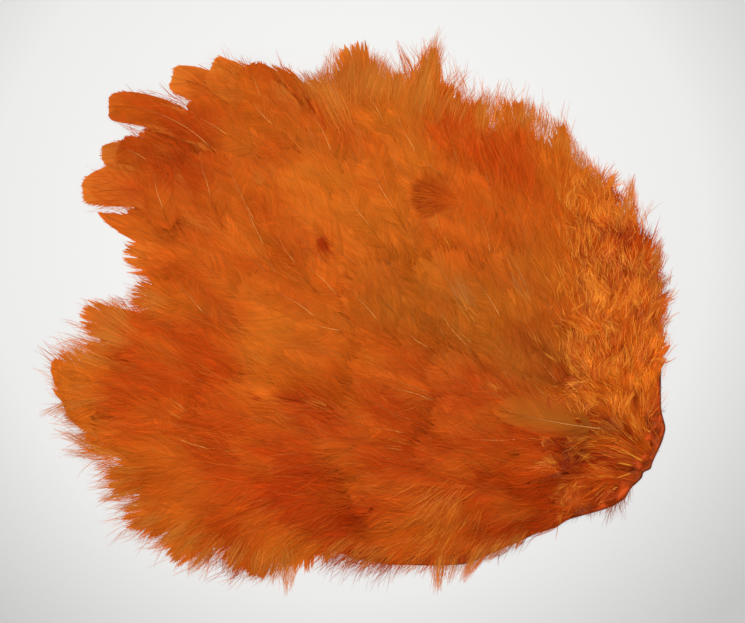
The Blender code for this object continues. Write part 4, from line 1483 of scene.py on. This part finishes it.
def smoothed_outline(outline):
    """The outline with its corners cut twice, and with points close together near the head end."""
    corners = np.array(outline, float)
    for _ in range(2):
        following = np.roll(corners, -1, 0)
        cuts = [0.85 * corners + 0.15 * following, 0.15 * corners + 0.85 * following]
        corners = np.stack(cuts, 1).reshape(-1, 2)
    found = []
    for one, other in zip(corners, np.roll(corners, -1, 0)):
        pitch = 0.45 if np.linalg.norm((one + other) / 2 - HEAD) < 38 else 2.5
        steps = max(int(np.linalg.norm(other - one) / pitch), 1)
        found += [one + (other - one) * k / steps for k in range(steps)]
    return np.array(found)


def skin_shape():
    """A wrinkled sheet with a raised cut edge and a flat underside, painted darker in its creases, its slits
    and on its cut edge as shade.
    """
    edge = smoothed_outline(SKIN_EDGE)
    edge = SKIN_MIDDLE + (edge - SKIN_MIDDLE) * SKIN_GROWTH
    inward = SKIN_MIDDLE - edge
    inward /= np.linalg.norm(inward, axis=1, keepdims=True)
    swell, crease, fine = Wander(4.0), Wander(1.6), Wander(0.8)
    rings = EDGE_RINGS + [(distance, None) for distance in TOP_RINGS]
    shapes, colours = [], []
    for distance, height in rings:
        places = edge + inward * distance
        # Painted shade: the same wanders that raise the skin lighten it, so its creases are darker
        painted_shade_and_tone = 1 + 0.25 * swell(places) + 0.22 * crease(places) + 0.14 * fine(places)
        tint = np.repeat(SKIN_RED[None], len(edge), 0) * painted_shade_and_tone[:, None]
        if height is None:
            height = SKIN_TOP + 0.35 * math.exp(-distance / 2.0) + 0.15 * swell(places)
            height = height + 0.28 * crease(places) + 0.13 * fine(places)
            for x, y, heading, length in SLITS:
                turn = math.radians(heading)
                away = places - (x, y)
                along = away @ (math.cos(turn), math.sin(turn)) / (length / 2)
                aside = away @ (-math.sin(turn), math.cos(turn)) / 0.7
                near = np.exp(-(along**4) - aside**2)
                height = height - 0.5 * near
                # Painted shade in the slits, which also sink
                tint = tint * (1 - 0.9 * near[:, None])
        else:
            height = np.full(len(edge), height) + (0.05 * crease(places) if height > 0.5 else 0)
            # Painted shade on the cut edge's sides and underside
            tint = tint * 0.4
        shapes.append(np.concatenate([places, height[:, None]], 1))
        colours.append(tint)
    count = len(edge)
    vertices = np.concatenate(shapes)
    ring = np.arange(count)
    after = (ring + 1) % count
    band = np.stack([ring, after, after + count, ring + count], 1)
    faces = np.concatenate([band + k * count for k in range(len(rings) - 1)]).tolist()
    underside = list(range(count))[::-1]
    middle = list(range((len(rings) - 1) * count, len(rings) * count))
    return vertices, faces + [underside, middle], np.concatenate(colours)


piece("dried_skin", skin_shape(), leather, "skin")
shapes = []
steps = np.linspace(0, 1, 8)
for x, y, heading, length in QUILLS:
    places = np.array((x, y)) + unit(math.radians(heading)) * (steps * length)[:, None]
    path = np.concatenate([places, (1.2 + 1.6 * steps * (1 - 0.4 * steps))[:, None]], 1)
    shapes.append(tube(path, 0.3 * (1 - 0.7 * steps), np.repeat(GOLD_AND_HIGHLIGHT[None], len(steps), 0)))
piece("quills", joined(shapes), glossy)
